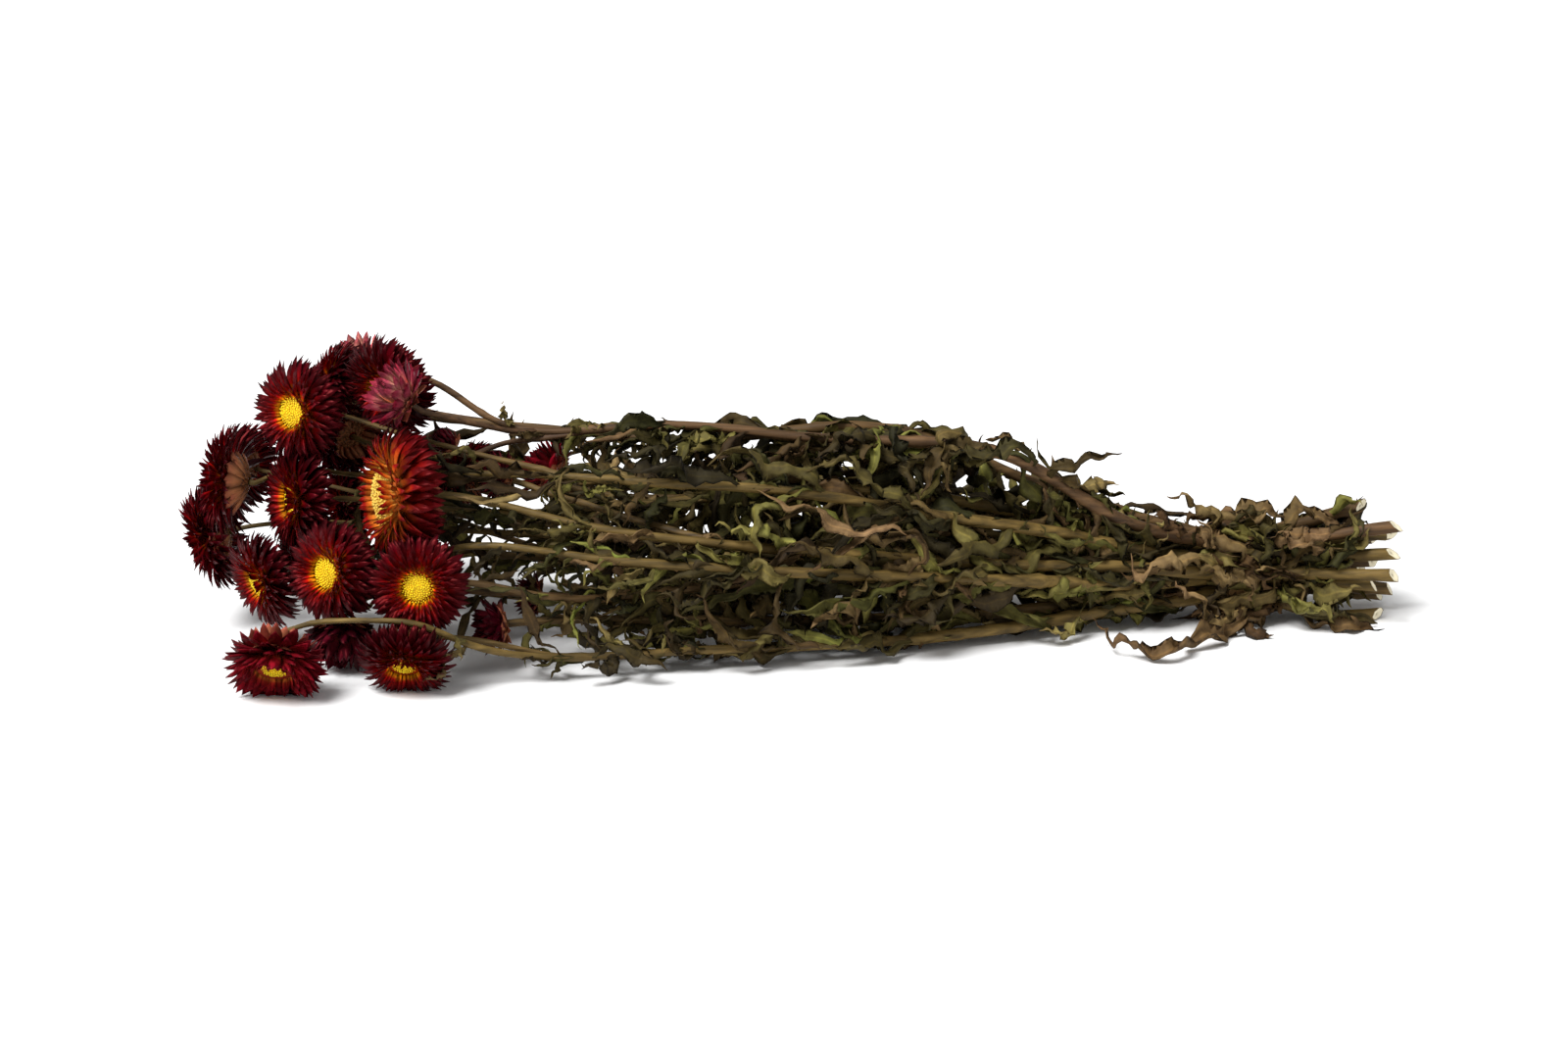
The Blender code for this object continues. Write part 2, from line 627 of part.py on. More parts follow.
def add_object(name, vertices, faces, finish):
    mesh = bpy.data.meshes.new(name)
    mesh.from_pydata([tuple(v) for v in vertices], [], faces)
    tidy = bmesh.new()
    tidy.from_mesh(mesh)
    bmesh.ops.recalc_face_normals(tidy, faces=tidy.faces)
    tidy.to_mesh(mesh)
    tidy.free()
    mesh.materials.append(finish)
    made = bpy.data.objects.new(name, mesh)
    bpy.context.scene.collection.objects.link(made)
    return made


def fuse(name, shapes, finish):
    """One object from shapes that run into each other, joined by a single Boolean union."""
    body = add_object(name, *shapes[0], finish)
    others = bpy.data.collections.new(name + "_repeats")
    bpy.context.scene.collection.children.link(others)
    for i, (vertices, faces) in enumerate(shapes[1:]):
        piece = add_object(f"{name}_piece_{i}", vertices, faces, finish)
        bpy.context.scene.collection.objects.unlink(piece)
        others.objects.link(piece)
    join = body.modifiers.new("join", "BOOLEAN")
    join.operation = "UNION"
    join.operand_type = "COLLECTION"
    join.collection = others
    join.solver = "MANIFOLD"
    bpy.context.view_layer.update()
    graph = bpy.context.evaluated_depsgraph_get()
    mesh = bpy.data.meshes.new_from_object(body.evaluated_get(graph))
    body.modifiers.clear()
    body.data = mesh
    keep_outer_skin(mesh)
    for piece in list(others.objects):
        bpy.data.objects.remove(piece)
    bpy.data.collections.remove(others)
    return body


def keep_outer_skin(mesh):
    """Keeps the largest closed skin: fills the hollows that joining sealed, drops loose scraps."""
    work = bmesh.new()
    work.from_mesh(mesh)
    bmesh.ops.triangulate(work, faces=work.faces)
    skins, seen_faces = [], set()
    for first in work.faces:
        if first in seen_faces:
            continue
        skin, reached = [], [first]
        seen_faces.add(first)
        while reached:
            face = reached.pop()
            skin.append(face)
            for edge in face.edges:
                for near in edge.link_faces:
                    if near not in seen_faces:
                        seen_faces.add(near)
                        reached.append(near)
        volume = sum(a.co.dot(b.co.cross(c.co)) for a, b, c in (f.verts for f in skin))
        skins.append((volume, skin))
    skins.sort(key=lambda item: item[0])
    for _, skin in skins[:-1]:
        bmesh.ops.delete(work, geom=skin, context="FACES")
    bmesh.ops.dissolve_degenerate(work, edges=work.edges, dist=SLIVER)
    bmesh.ops.triangulate(work, faces=work.faces)
    work.to_mesh(mesh)
    work.free()


def band_mesh():
    """The elastic band: a closed ring wound in rounded turns round the honeycomb of stems."""
    inner = ROOT3 * STEM_SPACING + STEM_RADIUS_AT_TIE + BAND_GAP
    profile = [(-TIE_HALF_WIDTH, inner), (TIE_HALF_WIDTH, inner)]
    for k in range(2 * BAND_TURNS + 1):
        x = TIE_HALF_WIDTH - k * TIE_HALF_WIDTH / BAND_TURNS
        crown = BAND_THICKNESS if k % 2 else BAND_THICKNESS * 0.55
        profile.append((x, inner + crown))
    segments = BAND_SEGMENTS
    vertices, faces = [], []
    for s in range(segments):
        turn = 2 * math.pi * s / segments
        for x, radius in profile:
            vertices.append((TIE_X + x, radius * math.cos(turn),
                             TIE_HEIGHT + radius * math.sin(turn)))
    size = len(profile)
    for s in range(segments):
        for k in range(size):
            a, b = s * size, ((s + 1) % segments) * size
            n = (k + 1) % size
            faces.append((a + k, a + n, b + n, b + k))
    return vertices, faces


def folds_through(points, across):
    """True if a leaf turns so sharply between two sections that it would cut through itself."""
    cuts = [i for i, _ in LEAF_SECTIONS]
    ahead = [unit(points[min(i + 1, 24)] - points[max(i - 1, 0)]) for i in cuts]
    steps = range(len(cuts) - 1)
    turned = min(across[cuts[n]] @ across[cuts[n + 1]] for n in steps)
    bent = min(ahead[n] @ ahead[n + 1] for n in steps)
    return min(turned, bent) < LEAF_SHARPEST


def strays(points, trunk):
    """True if a leaf pokes out well beyond the outermost stems, or past their cut ends."""
    if max(p[0] for p in points) > LEAF_END_X:
        return True
    for p in points[::4]:
        near = np.array([line[np.argmin(np.abs(line[:, 0] - p[0]))] for line in trunk.values()])
        middle = near.mean(0)
        away = p[1:] - middle[1:]
        reach = np.linalg.norm(away)
        extent = ((near[:, 1:] - middle[1:]) @ (away / max(reach, 1e-6))).max()
        if reach > extent + LEAF_STRAY[int(p[0] > LEAF_STRAY_X)]:
            return True
    return False


def grow_leaves(paths, shapes, trees):
    """Adds leaves to each stem's shapes, each one clear of every other node and leaf."""
    trunk = {stem: paths[stem, STEMS[stem][1]] for stem in STEMS}
    leaf_trees = []

    def others(stem):
        return [t for owner, t in trees if owner != stem] + leaf_trees

    def keep(stem, points, across, half, cup):
        test = leaf_mesh(points, across, half, cup, LEAF_CLEARANCE)
        if not clear_of(*test, others(stem)):
            return False
        shapes[stem].append(leaf_mesh(points, across, half, cup))
        leaf_trees.append(tree_of(*test))
        return True

    for stem, width, stations in SEEN_LEAVES:
        line, across = seen_leaf(stations)
        nearest = np.argmin(np.linalg.norm(trunk[stem] - line[0], axis=1))
        line = line + (trunk[stem][nearest] - line[0]) * np.linspace(1, 0, 25)[:, None] ** 2
        kept = keep(stem, line, across, width * MM / 2, 0.25)
        print("seen leaf on stem", stem, "kept" if kept else "DROPPED")
    for stem, slot, x, size in leaf_slots():
        for attempt in range(LEAF_TRIES):
            draw = leaf_draw(stem, slot, attempt)
            points, across, half = drawn_leaf(trunk[stem], x, size, draw)
            if strays(points, trunk) or folds_through(points, across):
                continue
            if keep(stem, points, across, half, draw["cup"]):
                break


def main():
    for old in list(bpy.data.objects):
        bpy.data.objects.remove(old)
    bract_red = material("bract_red", (0.16, 0.006, 0.012), 0.42)
    disc_yellow = material("disc_yellow", (0.80, 0.52, 0.02), 0.75)
    leaf_olive = material("leaf_olive", (0.12, 0.10, 0.045), 0.80)
    band_tan = material("band_tan", (0.42, 0.26, 0.12), 0.55)

    all_heads = heads()
    paths = stem_paths(all_heads)
    trees, shapes = [], {}
    for number, head in all_heads.items():
        name = f"head_{number:02d}"
        for part, mesh, finish in (("bracts", head_mesh, bract_red),
                                   ("disc", disc_mesh, disc_yellow)):
            if part == "disc" and head["form"] not in ("open", "old"):
                continue
            vertices, faces = placed(mesh, head)
            add_object(f"{name}_{part}", vertices, faces, finish)
            trees.append((name, tree_of(vertices, faces)))
    for stem in STEMS:
        shapes[stem] = []
        for key, line in paths.items():
            if key[0] != stem:
                continue
            main_stem = key[1] == STEMS[stem][1]
            rings = rings_of(line, RING_STEP)
            radii = [stem_radius(p[0]) * (1.0 if main_stem else 0.8) for p in rings]
            if stem == FOOT_STEM and main_stem:
                rings, radii = flat_foot(rings, radii)
            sides = STEM_SIDES if main_stem else BRANCH_SIDES
            shapes[stem].append(tube(rings, radii, sides, all_heads[key[1]]["facing"]))
            trees.append((stem, tree_of(*shapes[stem][-1])))
    band = band_mesh()
    add_object("tie_band", *band, band_tan)
    trees.append(("band", tree_of(*band)))
    grow_leaves(paths, shapes, trees)
    for stem, pieces in shapes.items():
        fuse(f"leafy_stem_{stem:02d}", pieces, leaf_olive)
    centre_over_origin()


def centre_over_origin():
    """Moves the whole bunch so that the middle of its box stands over the origin."""
    meshes = [thing.data for thing in bpy.data.objects]
    corners = np.array([v.co for mesh in meshes for v in mesh.vertices])
    middle = (corners.min(0) + corners.max(0)) / 2
    for mesh in meshes:
        for vertex in mesh.vertices:
            vertex.co.x -= middle[0]
            vertex.co.y -= middle[1]


main()
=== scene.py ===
import math
import random

import bpy
import numpy as np
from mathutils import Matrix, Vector
from mathutils.kdtree import KDTree


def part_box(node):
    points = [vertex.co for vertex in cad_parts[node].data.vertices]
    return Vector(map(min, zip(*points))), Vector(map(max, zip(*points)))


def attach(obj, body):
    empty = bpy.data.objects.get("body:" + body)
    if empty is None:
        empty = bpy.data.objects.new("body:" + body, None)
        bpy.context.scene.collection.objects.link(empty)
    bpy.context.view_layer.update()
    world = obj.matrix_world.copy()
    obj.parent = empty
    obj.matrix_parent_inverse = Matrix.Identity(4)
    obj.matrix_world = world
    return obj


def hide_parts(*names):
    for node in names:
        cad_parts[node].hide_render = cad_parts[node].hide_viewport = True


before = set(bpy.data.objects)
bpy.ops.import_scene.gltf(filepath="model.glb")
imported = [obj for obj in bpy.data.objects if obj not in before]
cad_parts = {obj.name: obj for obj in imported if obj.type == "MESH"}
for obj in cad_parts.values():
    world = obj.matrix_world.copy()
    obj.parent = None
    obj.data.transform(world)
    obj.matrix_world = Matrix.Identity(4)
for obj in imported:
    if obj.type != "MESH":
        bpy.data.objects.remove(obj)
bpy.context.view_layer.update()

# Layout of the bunch, in metres unless a comment says otherwise: the same places and rules as
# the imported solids
MM = 0.001
PHOTO_CENTRE = (800.0, 531.0)
PHOTO_WIDTH_PX = 1600.0
CAMERA_AZIMUTH = math.radians(-5.0)
CAMERA_ELEVATION = math.radians(16.0)
CAMERA_DISTANCE = 1.66
CAMERA_TARGET = (-0.003, 0.0, 0.0505)
LENS_MM = 85.0
SENSOR_MM = 36.0
TIE_X = 0.2015
TIE_HEIGHT = 0.0245
TIE_HALF_WIDTH = 0.0045
STEM_SPACING = 0.0074
STEM_RADIUS_AT_TIE = 0.0035
STEM_RADIUS_AT_HEAD = 0.0012
BUNCH_RADIUS = math.sqrt(3.0) * STEM_SPACING + STEM_RADIUS_AT_TIE
BAND_GAP = 0.0004
BAND_THICKNESS = 0.0014
CUT_FLARE = 1.9
CUT_LENGTH = 0.068
CUT_SWELL = 0.08
STEM_SIDES = 6
FOOT_STEM = 7
FOOT_LENGTH = 0.026
HEAD_RADIUS = 0.020
HEAD_MIDDLE = 0.007
HEAD_KEEP_OUT = 0.006
SEAT_GAP = 0.0003
LEAF_TRIES = 60
LEAF_SEED = 13
LEAF_LENGTH = 0.060
LEAF_SPACING = 0.045
LEAF_SLIMNESS = 0.088
LEAF_STRAY = (0.007, 0.013)
LEAF_STRAY_X = 0.10
LEAF_END_X = 0.264
LEAF_STEPS = 25
STEM_GAP = 0.0014
PATH_STEP = 0.005
SETTLE_ROUNDS = 90
STEM_FLOOR_GAP = 0.0015

# Heads read off the photograph: number, pixel, depth in mm, facing, radius in mm, form
HEADS = """
1 303 420 -12 -0.66 -0.74 0.12 20 open
2 334 394 34 -0.8 0.05 0.55 20 open
3 366 368 68 -0.3 0.5 0.8 15 half
4 396 397 6 -0.7 -0.6 -0.3 21 open
5 410 406 -26 -0.75 -0.25 0.6 14 half
6 236 490 0 -0.93 0.25 0.05 22 open
7 218 547 28 -0.93 0.1 -0.3 21 open
8 304 510 -16 -0.93 -0.33 0.05 20 open
9 402 505 -38 -0.95 -0.28 0.05 26 old
10 338 584 -50 -0.66 -0.72 0.15 20 open
11 268 592 -20 -0.84 -0.45 -0.25 19 open
12 427 598 -68 -0.15 -0.98 0.05 19.5 open
13 281 662 -80 -0.12 -0.7 -0.7 20 open
14 352 652 -42 -0.15 -0.6 -0.78 15 half
15 413 674 -78 -0.1 -0.72 -0.68 17 open
16 506 638 -48 -0.97 -0.2 -0.05 14 half
17 458 453 -5 -0.7 -0.1 0.7 10 bud
18 560 480 8 -0.75 0.3 0.55 16 half
19 512 487 -8 -0.9 0.0 0.3 13 half
20 544 607 12 -0.95 -0.1 0.1 12 half
"""
# Heads of the far side and the middle: number, place in mm, facing, radius in mm, form
FAR_HEADS = """
21 -214 72 24 -0.55 0.7 -0.45 19 open
22 -200 66 80 -0.55 0.8 0.2 20 open
23 -160 88 48 -0.3 0.93 0.1 19 open
24 -145 22 70 -0.6 0.45 0.55 16 open
25 -246 58 66 -0.85 0.5 0.1 18 open
26 -199 61 47 -0.8 0.15 -0.15 16.5 open
"""
# How far heads are moved up or down so that they rest on the floor or clear it
HEAD_LIFTS = {13: -0.005964236, 14: 0.003139548, 21: -0.007333599}

# Stems: number, square of the place from the middle of the tie in stem spacings, its degrees,
# head; then the pixel and depth in mm of each station; then the head and X in mm of each branch
STEM_TABLE = """
1 3 120 4, 1160 545 -14, 1102 508 -17, 1050 468 -17, 1000 452 -14, 930 450 -10, 800 447 -8, \
735 433 -6, 650 433 -4, 560 443 0, 500 444 2, 5 -112, 17 -84
2 3 60 2, 1050 492 12, 950 446 10, 900 430 8, 816 437 8, 709 452 12, 600 441 16, 500 431 20, \
3 -120
3 1 150 6, 1050 538 -24, 950 526 -36, 860 508 -42, 790 498 -44, 640 492 -40, 540 482 -26, 1 -100
4 3 180 9, 1050 578 -26, 900 567 -44, 790 561 -50, 720 553 -52, 600 540 -50, 19 -30
5 1 210 10, 1050 592 -34, 900 588 -54, 700 578 -62, 580 568 -60, 480 550 -46
6 1 270 16, 1000 628 -22, 735 633 -40
7 3 240 13, 1000 645 -34, 850 658 -50, 708 663 -60, 590 672 -66, 496 668 -72, 408 650 -76, \
350 634 -80, 15 -100
8 0 0 12, 850 590 -24, 735 596 -34, 615 612 -46, 530 616 -52
9 1 90 8, 900 500 -6, 700 510 -10, 500 525 -10, 18 0
10 1 330 11, 900 600 4, 650 610 -6, 480 605 -12, 14 -70
11 1 30 7, 900 540 24, 650 550 28, 25 -90, 20 -10
12 3 300 21, 900 575 44, 650 575 60, 23 -60, 26 -84
13 3 0 22, 900 500 40, 650 490 54, 24 -70
"""
# Leaves that the solids also have: stem, full width in mm and, for one of them, brownness; then
# the pixel and depth in mm of each station
SEEN_LEAVES = """
7 13 0.85, 1300 628 -30, 1288 646 -38, 1262 653 -44, 1226 661 -56, 1190 671 -68, 1160 666 -64, \
1132 653 -50, 1112 632 -38
7 9, 1110 622 -34, 1100 640 -38, 1085 650 -38, 1064 642 -42
1 9, 1096 505 -20, 1080 488 -20, 1100 474 -24, 1122 470 -26, 1144 460 -26
1 8, 1096 505 -17, 1104 498 -8, 1122 492 -2, 1143 494 0
3 11, 862 509 -42, 875 548 -52, 900 556 -60, 925 544 -62, 942 566 -64, 930 590 -64
1 11, 990 452 -14, 975 438 -18, 960 450 -24, 965 480 -28, 975 500 -28
2 10, 1040 488 12, 1050 470 4, 1032 452 0, 1006 450 -2
1 9, 920 452 -10, 908 438 -14, 912 452 -20, 930 480 -26, 950 506 -30
3 12, 760 498 -44, 720 486 -50, 660 480 -50, 612 486 -48
1 10, 1232 560 -12, 1240 532 -16, 1222 512 -18, 1192 506 -20
5 10, 900 588 -54, 872 574 -64, 834 562 -70, 796 558 -70
5 11, 800 584 -60, 790 612 -66, 800 645 -66, 836 664 -62
"""

# Looks
PAPER = 0.00022
LEAF_PAPER = 0.00045
SPARE_LEAVES = 54
MORE_SPARE_LEAVES = 30
SPARE_X = (-0.10, 0.235)
SPARE_TRIES = 12
SMALL_LEAVES = 6
MORE_SMALL_LEAVES = 26
SMALL_X = (-0.18, -0.04)
SMALL_LENGTH = (0.022, 0.050)
SMALL_TRIES = 8
SMALL_LEAF_CEILING = 0.093
HANGING_LIMIT = 0.002
TIE_LEAVES = 44
TIE_SPREAD = 0.0135
BAND_CLEARANCE = 0.004
TIP_MATCH = 0.0002
LONG_LEAF = 0.075
LEAF_COLUMNS = 4
BRACT_STEPS = 6
HEAD_FULLNESS = 1.1
STEM_SLIMNESS = 0.88
BARK_SIDES = 14
FLOOR_CLEARANCE = 0.0002
FLOOR_REACH = 6.0
BAND_STRANDS = 3
BAND_SEGMENTS = 90
BAND_SIDES = 8

# Seeds of the random draws; a number of the piece is added to most of them
BRACT_SEED = 900
FLORET_SEED = 300
BARK_SEED = 50
HUE_SEED = 5
SPARE_SEED = 71
SMALL_SEED = 400
TIE_SEED = 31
FINE_CRUMPLE = 40
SLOT_CRUMPLE = 100
SMALL_CRUMPLE = 700
TIE_CRUMPLE = 8200
SPARE_CRUMPLE = 9000
SPARE_DRAWS = 40
SMALL_DRAWS = 80

# Rings of fine bracts, outermost first: tilt from the face plane at the root and at the tip in
# degrees, length and full width in mm, how many go round, and root radius and height in mm
FINE_FORMS = {
    "open": """
-24 -90 9.0 3.6 18 5.4 2.0, -16 -84 11.0 3.6 20 6.0 2.6, -9 -74 12.6 3.7 22 6.6 3.3, \
-2 -62 13.8 3.7 24 7.0 4.0, 5 -49 14.6 3.7 25 7.3 4.7, 12 -36 15.0 3.6 26 7.5 5.4, \
19 -23 14.8 3.5 26 7.5 6.0, 26 -10 14.2 3.3 26 7.4 6.6, 34 3 13.2 3.1 25 7.2 7.2, \
43 16 11.8 2.8 24 7.0 7.8, 53 30 10.0 2.4 24 6.8 8.3, 62 38 8.2 1.9 24 6.6 8.8, \
68 40 6.0 1.3 26 6.2 9.3
""",
    "cup": """
-34 -60 8.0 5.0 14 5.4 2.0, -20 -30 10.0 5.4 15 6.0 2.6, -8 -10 11.4 5.6 16 6.6 3.3, \
4 10 12.2 5.6 17 7.0 4.0, 14 28 12.6 5.4 17 7.3 4.7, 24 44 12.6 5.2 17 7.5 5.4, \
34 58 12.2 4.9 17 7.5 6.0, 42 64 10.6 4.5 16 7.4 6.6, 50 70 8.6 3.8 16 7.2 7.2, \
58 74 6.8 3.2 16 7.0 7.8, 66 76 5.2 2.4 18 6.8 8.4
""",
    "old": """
-26 -92 9.0 3.6 18 6.0 2.2, -20 -88 11.0 3.7 20 7.0 2.8, -14 -82 12.6 3.8 22 8.0 3.5, \
-8 -74 13.6 3.8 24 8.8 4.2, -2 -66 14.0 3.7 25 9.4 4.9, 5 -57 13.8 3.6 26 9.8 5.6, \
13 -46 13.0 3.4 26 10.0 6.2, 22 -32 11.8 3.1 26 10.1 6.8, 34 -12 10.2 2.8 26 10.1 7.4, \
48 14 8.6 2.5 26 10.0 8.0, 62 44 7.2 2.3 26 9.7 8.5, 74 76 6.2 2.1 24 9.0 8.8
""",
    "half": """
-6 6 8.0 6.6 8 4.4 1.2, 8 16 11.0 7.2 9 5.0 1.9, 20 30 13.5 7.4 10 5.4 2.7, \
32 48 15.0 7.2 10 5.6 3.5, 44 66 15.6 6.6 10 5.5 4.4, 56 82 15.4 6.0 9 5.0 5.3, \
68 98 14.0 5.2 8 4.0 6.3, 78 108 12.0 4.4 6 2.6 7.2
""",
    "bud": """
30 62 8.0 5.6 8 4.4 1.2, 42 74 12.0 6.4 9 4.8 2.0, 52 86 15.0 6.2 9 5.0 3.2, \
62 96 17.0 5.6 9 4.4 4.6, 72 100 17.0 4.8 8 3.2 6.0, 82 98 15.0 3.8 6 1.8 7.4
""",
}

# Heads whose bracts still close in round the disc, heads whose outermost rings have dropped off,
# and heads fuller or thinner than the rest
CUPPED = (13,)
RINGS_LOST = {6: 5, 7: 3, 8: 2, 11: 3, 25: 2}
FULLER = {5: 1.25, 14: 1.3, 15: 1.1, 8: 1.08, 13: 1.1}

# Profiles of the solid cup under the bracts by form, as radius and height in mm
CORES = {
    "open": ((1.6, 0), (4.8, 1.4), (7.0, 4.0), (7.4, 7.0), (6.6, 9.1)),
    "old": ((1.6, 0), (5.8, 1.4), (8.8, 4.0), (10.0, 6.6), (9.8, 8.8)),
    "half": ((1.5, 0), (4.6, 1.6), (5.2, 4.8), (3.0, 8.2)),
}
# Rings of the dry bracts at the back of a head: how many, root radius, height and length in mm
INVOLUCRE = ((9, 1.7, 0.0, 7.0), (11, 2.8, 0.4, 8.5), (12, 4.2, 0.9, 9.5))

# Radius and height of a disc's dome, as shares
DOME = ((1.0, -0.6), (1.0, 0.1), (0.8, 0.62), (0.55, 0.86), (0.28, 0.97), (0.03, 1.0))

# Height, width and look along a floret, as shares
FLORET = ((0, 0.8, 0), (0.55, 0.75, 0.5), (0.85, 1.15, 0.9), (1.0, 0.35, 1.0))
GOLDEN_ANGLE = math.radians(137.508)

# Stems at the back and middle of the bunch, which carry the most leaves
LEAFY_STEMS = (2, 9, 10, 11, 12, 13)

# Stems along the top of the bunch, whose leaves all hang down from them
TOP_STEMS = (1, 2)

# Which colouring each head has; a head that isn't named is dark red. Head 13's rose colouring is
# its dark red made lighter and pinker all over as painted pink sheen; head 18 is rose-pink itself
HEAD_TONES = {3: "faded", 5: "pink", 18: "rose_and_sheen", 16: "plum", 19: "plum", 20: "plum", 17: "plum",
              9: "old", 13: "rose_and_sheen", 14: "plum"}

# Half widths along a bract and a leaf: shares of the length and of the widest half width
BRACT_SHAPE = ((0, 0.55), (0.2, 0.80), (0.45, 1.0), (0.68, 0.92), (0.84, 0.60), (1, 0.02))
LEAF_SHAPE = ((0, 0.14), (0.1, 0.25), (0.28, 0.80), (0.48, 1.0), (0.68, 0.84), (0.86, 0.46),
              (1, 0.02))

# Ripples of a leaf's edges: turns along it, slant across it, power of the distance from the rib
# and size
LEAF_WAVES = ((19, 1.4, 1.5, 0.34), (37, -2.3, 1, 0.20), (58, 4, 0, 0.08))

# Stems that are brown rather than olive, as shares of brown
STEM_BROWN = {1: 0.9, 2: 0.75, 6: 0.55, 8: 0.7, 10: 0.6, 12: 0.5}

# More leaves read off the photograph: stem, full width in mm and brownness, then stations
FINE_LEAVES = """
3 11 0.2, 1292 606 -24, 1288 588 -25, 1290 560 -24, 1296 536 -18, 1304 520 -10
4 14 0.8, 1240 584 -20, 1216 566 -24, 1190 572 -28, 1168 580 -28, 1150 570 -26
1 13 0.7, 1236 560 -12, 1258 528 -14, 1284 520 -12, 1310 530 -10
7 12 0.8, 1290 620 -24, 1262 634 -30, 1236 628 -32, 1214 606 -30, 1200 590 -30
4 13 0.6, 1262 596 -20, 1244 612 -27, 1246 640 -28, 1266 652 -26
3 12 0.7, 1300 580 -18, 1270 566 -24, 1244 548 -24, 1220 532 -20
2 12 0.7, 1296 550 4, 1318 530 -4, 1342 524 -6, 1366 534 -6
5 11 0.3, 1300 590 -16, 1330 598 -22, 1362 604 -24, 1392 600 -22
7 10 0.3, 1300 610 -16, 1334 626 -24, 1370 630 -26, 1408 636 -24
3 6 0.9, 770 500 -44, 800 514 -56, 832 519 -64, 850 535 -66, 882 545 -66, 908 534 -66, 928 549 -64
7 9 0.4, 600 673 -66, 622 660 -74, 650 668 -80, 680 684 -78
7 8 0.5, 640 670 -64, 612 684 -76, 592 676 -80
7 8 0.6, 470 664 -74, 456 676 -80, 448 692 -86, 432 698 -88
1 7 0.5, 520 443 2, 514 432 0, 508 420 0, 516 410 0
1 13 0.2, 1060 476 -18, 1040 460 -26, 1012 462 -30, 986 470 -32, 962 462 -30
1 12 0.4, 960 451 -12, 944 466 -24, 930 490 -32, 936 514 -38
3 11 0.3, 940 524 -36, 910 508 -46, 880 486 -46, 850 474 -44, 820 480 -46
3 12 0.3, 850 506 -42, 824 486 -46, 790 470 -44, 752 462 -40, 720 468 -38
3 11 0.2, 720 494 -44, 690 478 -46, 660 462 -42, 636 458 -38
4 12 0.4, 1020 578 -30, 990 590 -44, 960 602 -50, 930 600 -52
4 11 0.3, 820 562 -48, 792 548 -54, 760 536 -54, 730 540 -54
4 10 0.3, 740 556 -52, 710 572 -58, 680 566 -62, 650 556 -62
5 12 0.5, 980 590 -44, 960 614 -52, 930 630 -56, 900 632 -56
5 12 0.3, 760 582 -60, 730 604 -66, 700 616 -68, 668 610 -68
6 12 0.4, 960 628 -26, 930 646 -38, 896 652 -44, 866 640 -46
7 12 0.3, 930 650 -42, 900 664 -54, 870 660 -60, 838 668 -62
7 11 0.3, 820 660 -52, 790 648 -60, 764 660 -64, 740 674 -66
1 10 0.4, 900 449 -10, 876 440 -18, 850 452 -22, 830 466 -24
2 11 0.2, 900 430 8, 870 440 0, 838 446 -2, 806 456 -4
1 8 0.3, 760 440 -6, 730 452 -14, 708 448 -18, 690 460 -20
3 6 0.1, 635 490 -40, 617 481 -44, 586 475 -42, 555 484 -38
3 5 0.7, 572 498 -34, 546 508 -36, 516 512 -38, 488 510 -38, 462 505 -36
3 5 0.4, 492 476 -26, 462 472 -34, 445 462 -38, 437 446 -38, 441 440 -36
3 5 0.3, 494 470 -24, 476 455 -32, 462 459 -36, 451 466 -38
4 5 0.3, 594 556 -52, 577 546 -58, 555 549 -60, 541 538 -60, 528 541 -60
4 6 0.0, 600 560 -52, 572 571 -60, 552 581 -62, 530 587 -62
8 5 0.1, 572 630 -52, 552 628 -62, 541 619 -66, 532 605 -68, 516 602 -68, 490 604 -68, 470 604 -68
8 5 0.0, 656 616 -48, 642 625 -60, 628 630 -64, 614 634 -64
5 6 0.2, 673 580 -62, 659 594 -68, 642 597 -70, 628 604 -70, 600 596 -68
1 7 0.3, 684 446 -6, 673 466 -18, 656 470 -24, 634 466 -26, 614 473 -26
2 5 0.5, 600 446 14, 586 459 2, 573 453 0
3 6 0.2, 590 492 -36, 600 509 -44, 617 498 -46, 636 501 -46
4 12 0.7, 1224 562 -22, 1245 575 -28, 1265 590 -30, 1283 612 -30
1 10 0.3, 1250 545 -12, 1257 527 -16, 1271 523 -16, 1291 518 -14
1 14 0.9, 1300 560 -12, 1318 548 -22, 1338 545 -24, 1354 540 -18
3 12 0.9, 1350 566 -18, 1332 556 -24, 1314 552 -26, 1298 545 -24
7 12 0.2, 1292 604 -20, 1319 614 -28, 1341 624 -30, 1362 635 -30
7 10 0.8, 1312 630 -20, 1330 640 -26, 1358 640 -28, 1389 642 -28, 1414 648 -26
7 11 0.7, 1246 606 -24, 1248 620 -30, 1242 633 -32, 1226 640 -34
7 11 0.9, 1270 612 -24, 1272 630 -32, 1282 644 -36, 1300 650 -38
1 10 1.0, 1204 556 -16, 1200 546 -20, 1186 534 -22, 1170 528 -20
13 14 0.4, 960 500 34, 990 486 34, 1020 480 32, 1045 492 30
13 15 0.3, 925 492 38, 950 480 40, 975 475 40, 1000 471 38
13 14 0.5, 900 500 40, 930 505 38, 960 500 36, 985 508 34
13 14 0.4, 860 498 42, 835 486 44, 810 480 46, 788 486 46
9 15 0.4, 740 510 -8, 715 522 -6, 690 530 -4, 664 526 -2
9 14 0.3, 690 512 -10, 665 530 -6, 640 538 -4, 615 532 -2
9 14 0.4, 720 510 -8, 700 495 0, 680 490 4, 655 495 6
"""

# Lights: name, direction it comes from, strength and angle in degrees
LIGHTS = (("key", (-0.75, -0.6, 1.35), 4.2, 28), ("fill", (0.9, -0.9, 0.9), 0.3, 60))
SURROUND_STRENGTH = 0.36

CAMERA_BACK = np.array([
    math.sin(CAMERA_AZIMUTH) * math.cos(CAMERA_ELEVATION),
    -math.cos(CAMERA_AZIMUTH) * math.cos(CAMERA_ELEVATION),
    math.sin(CAMERA_ELEVATION),
])


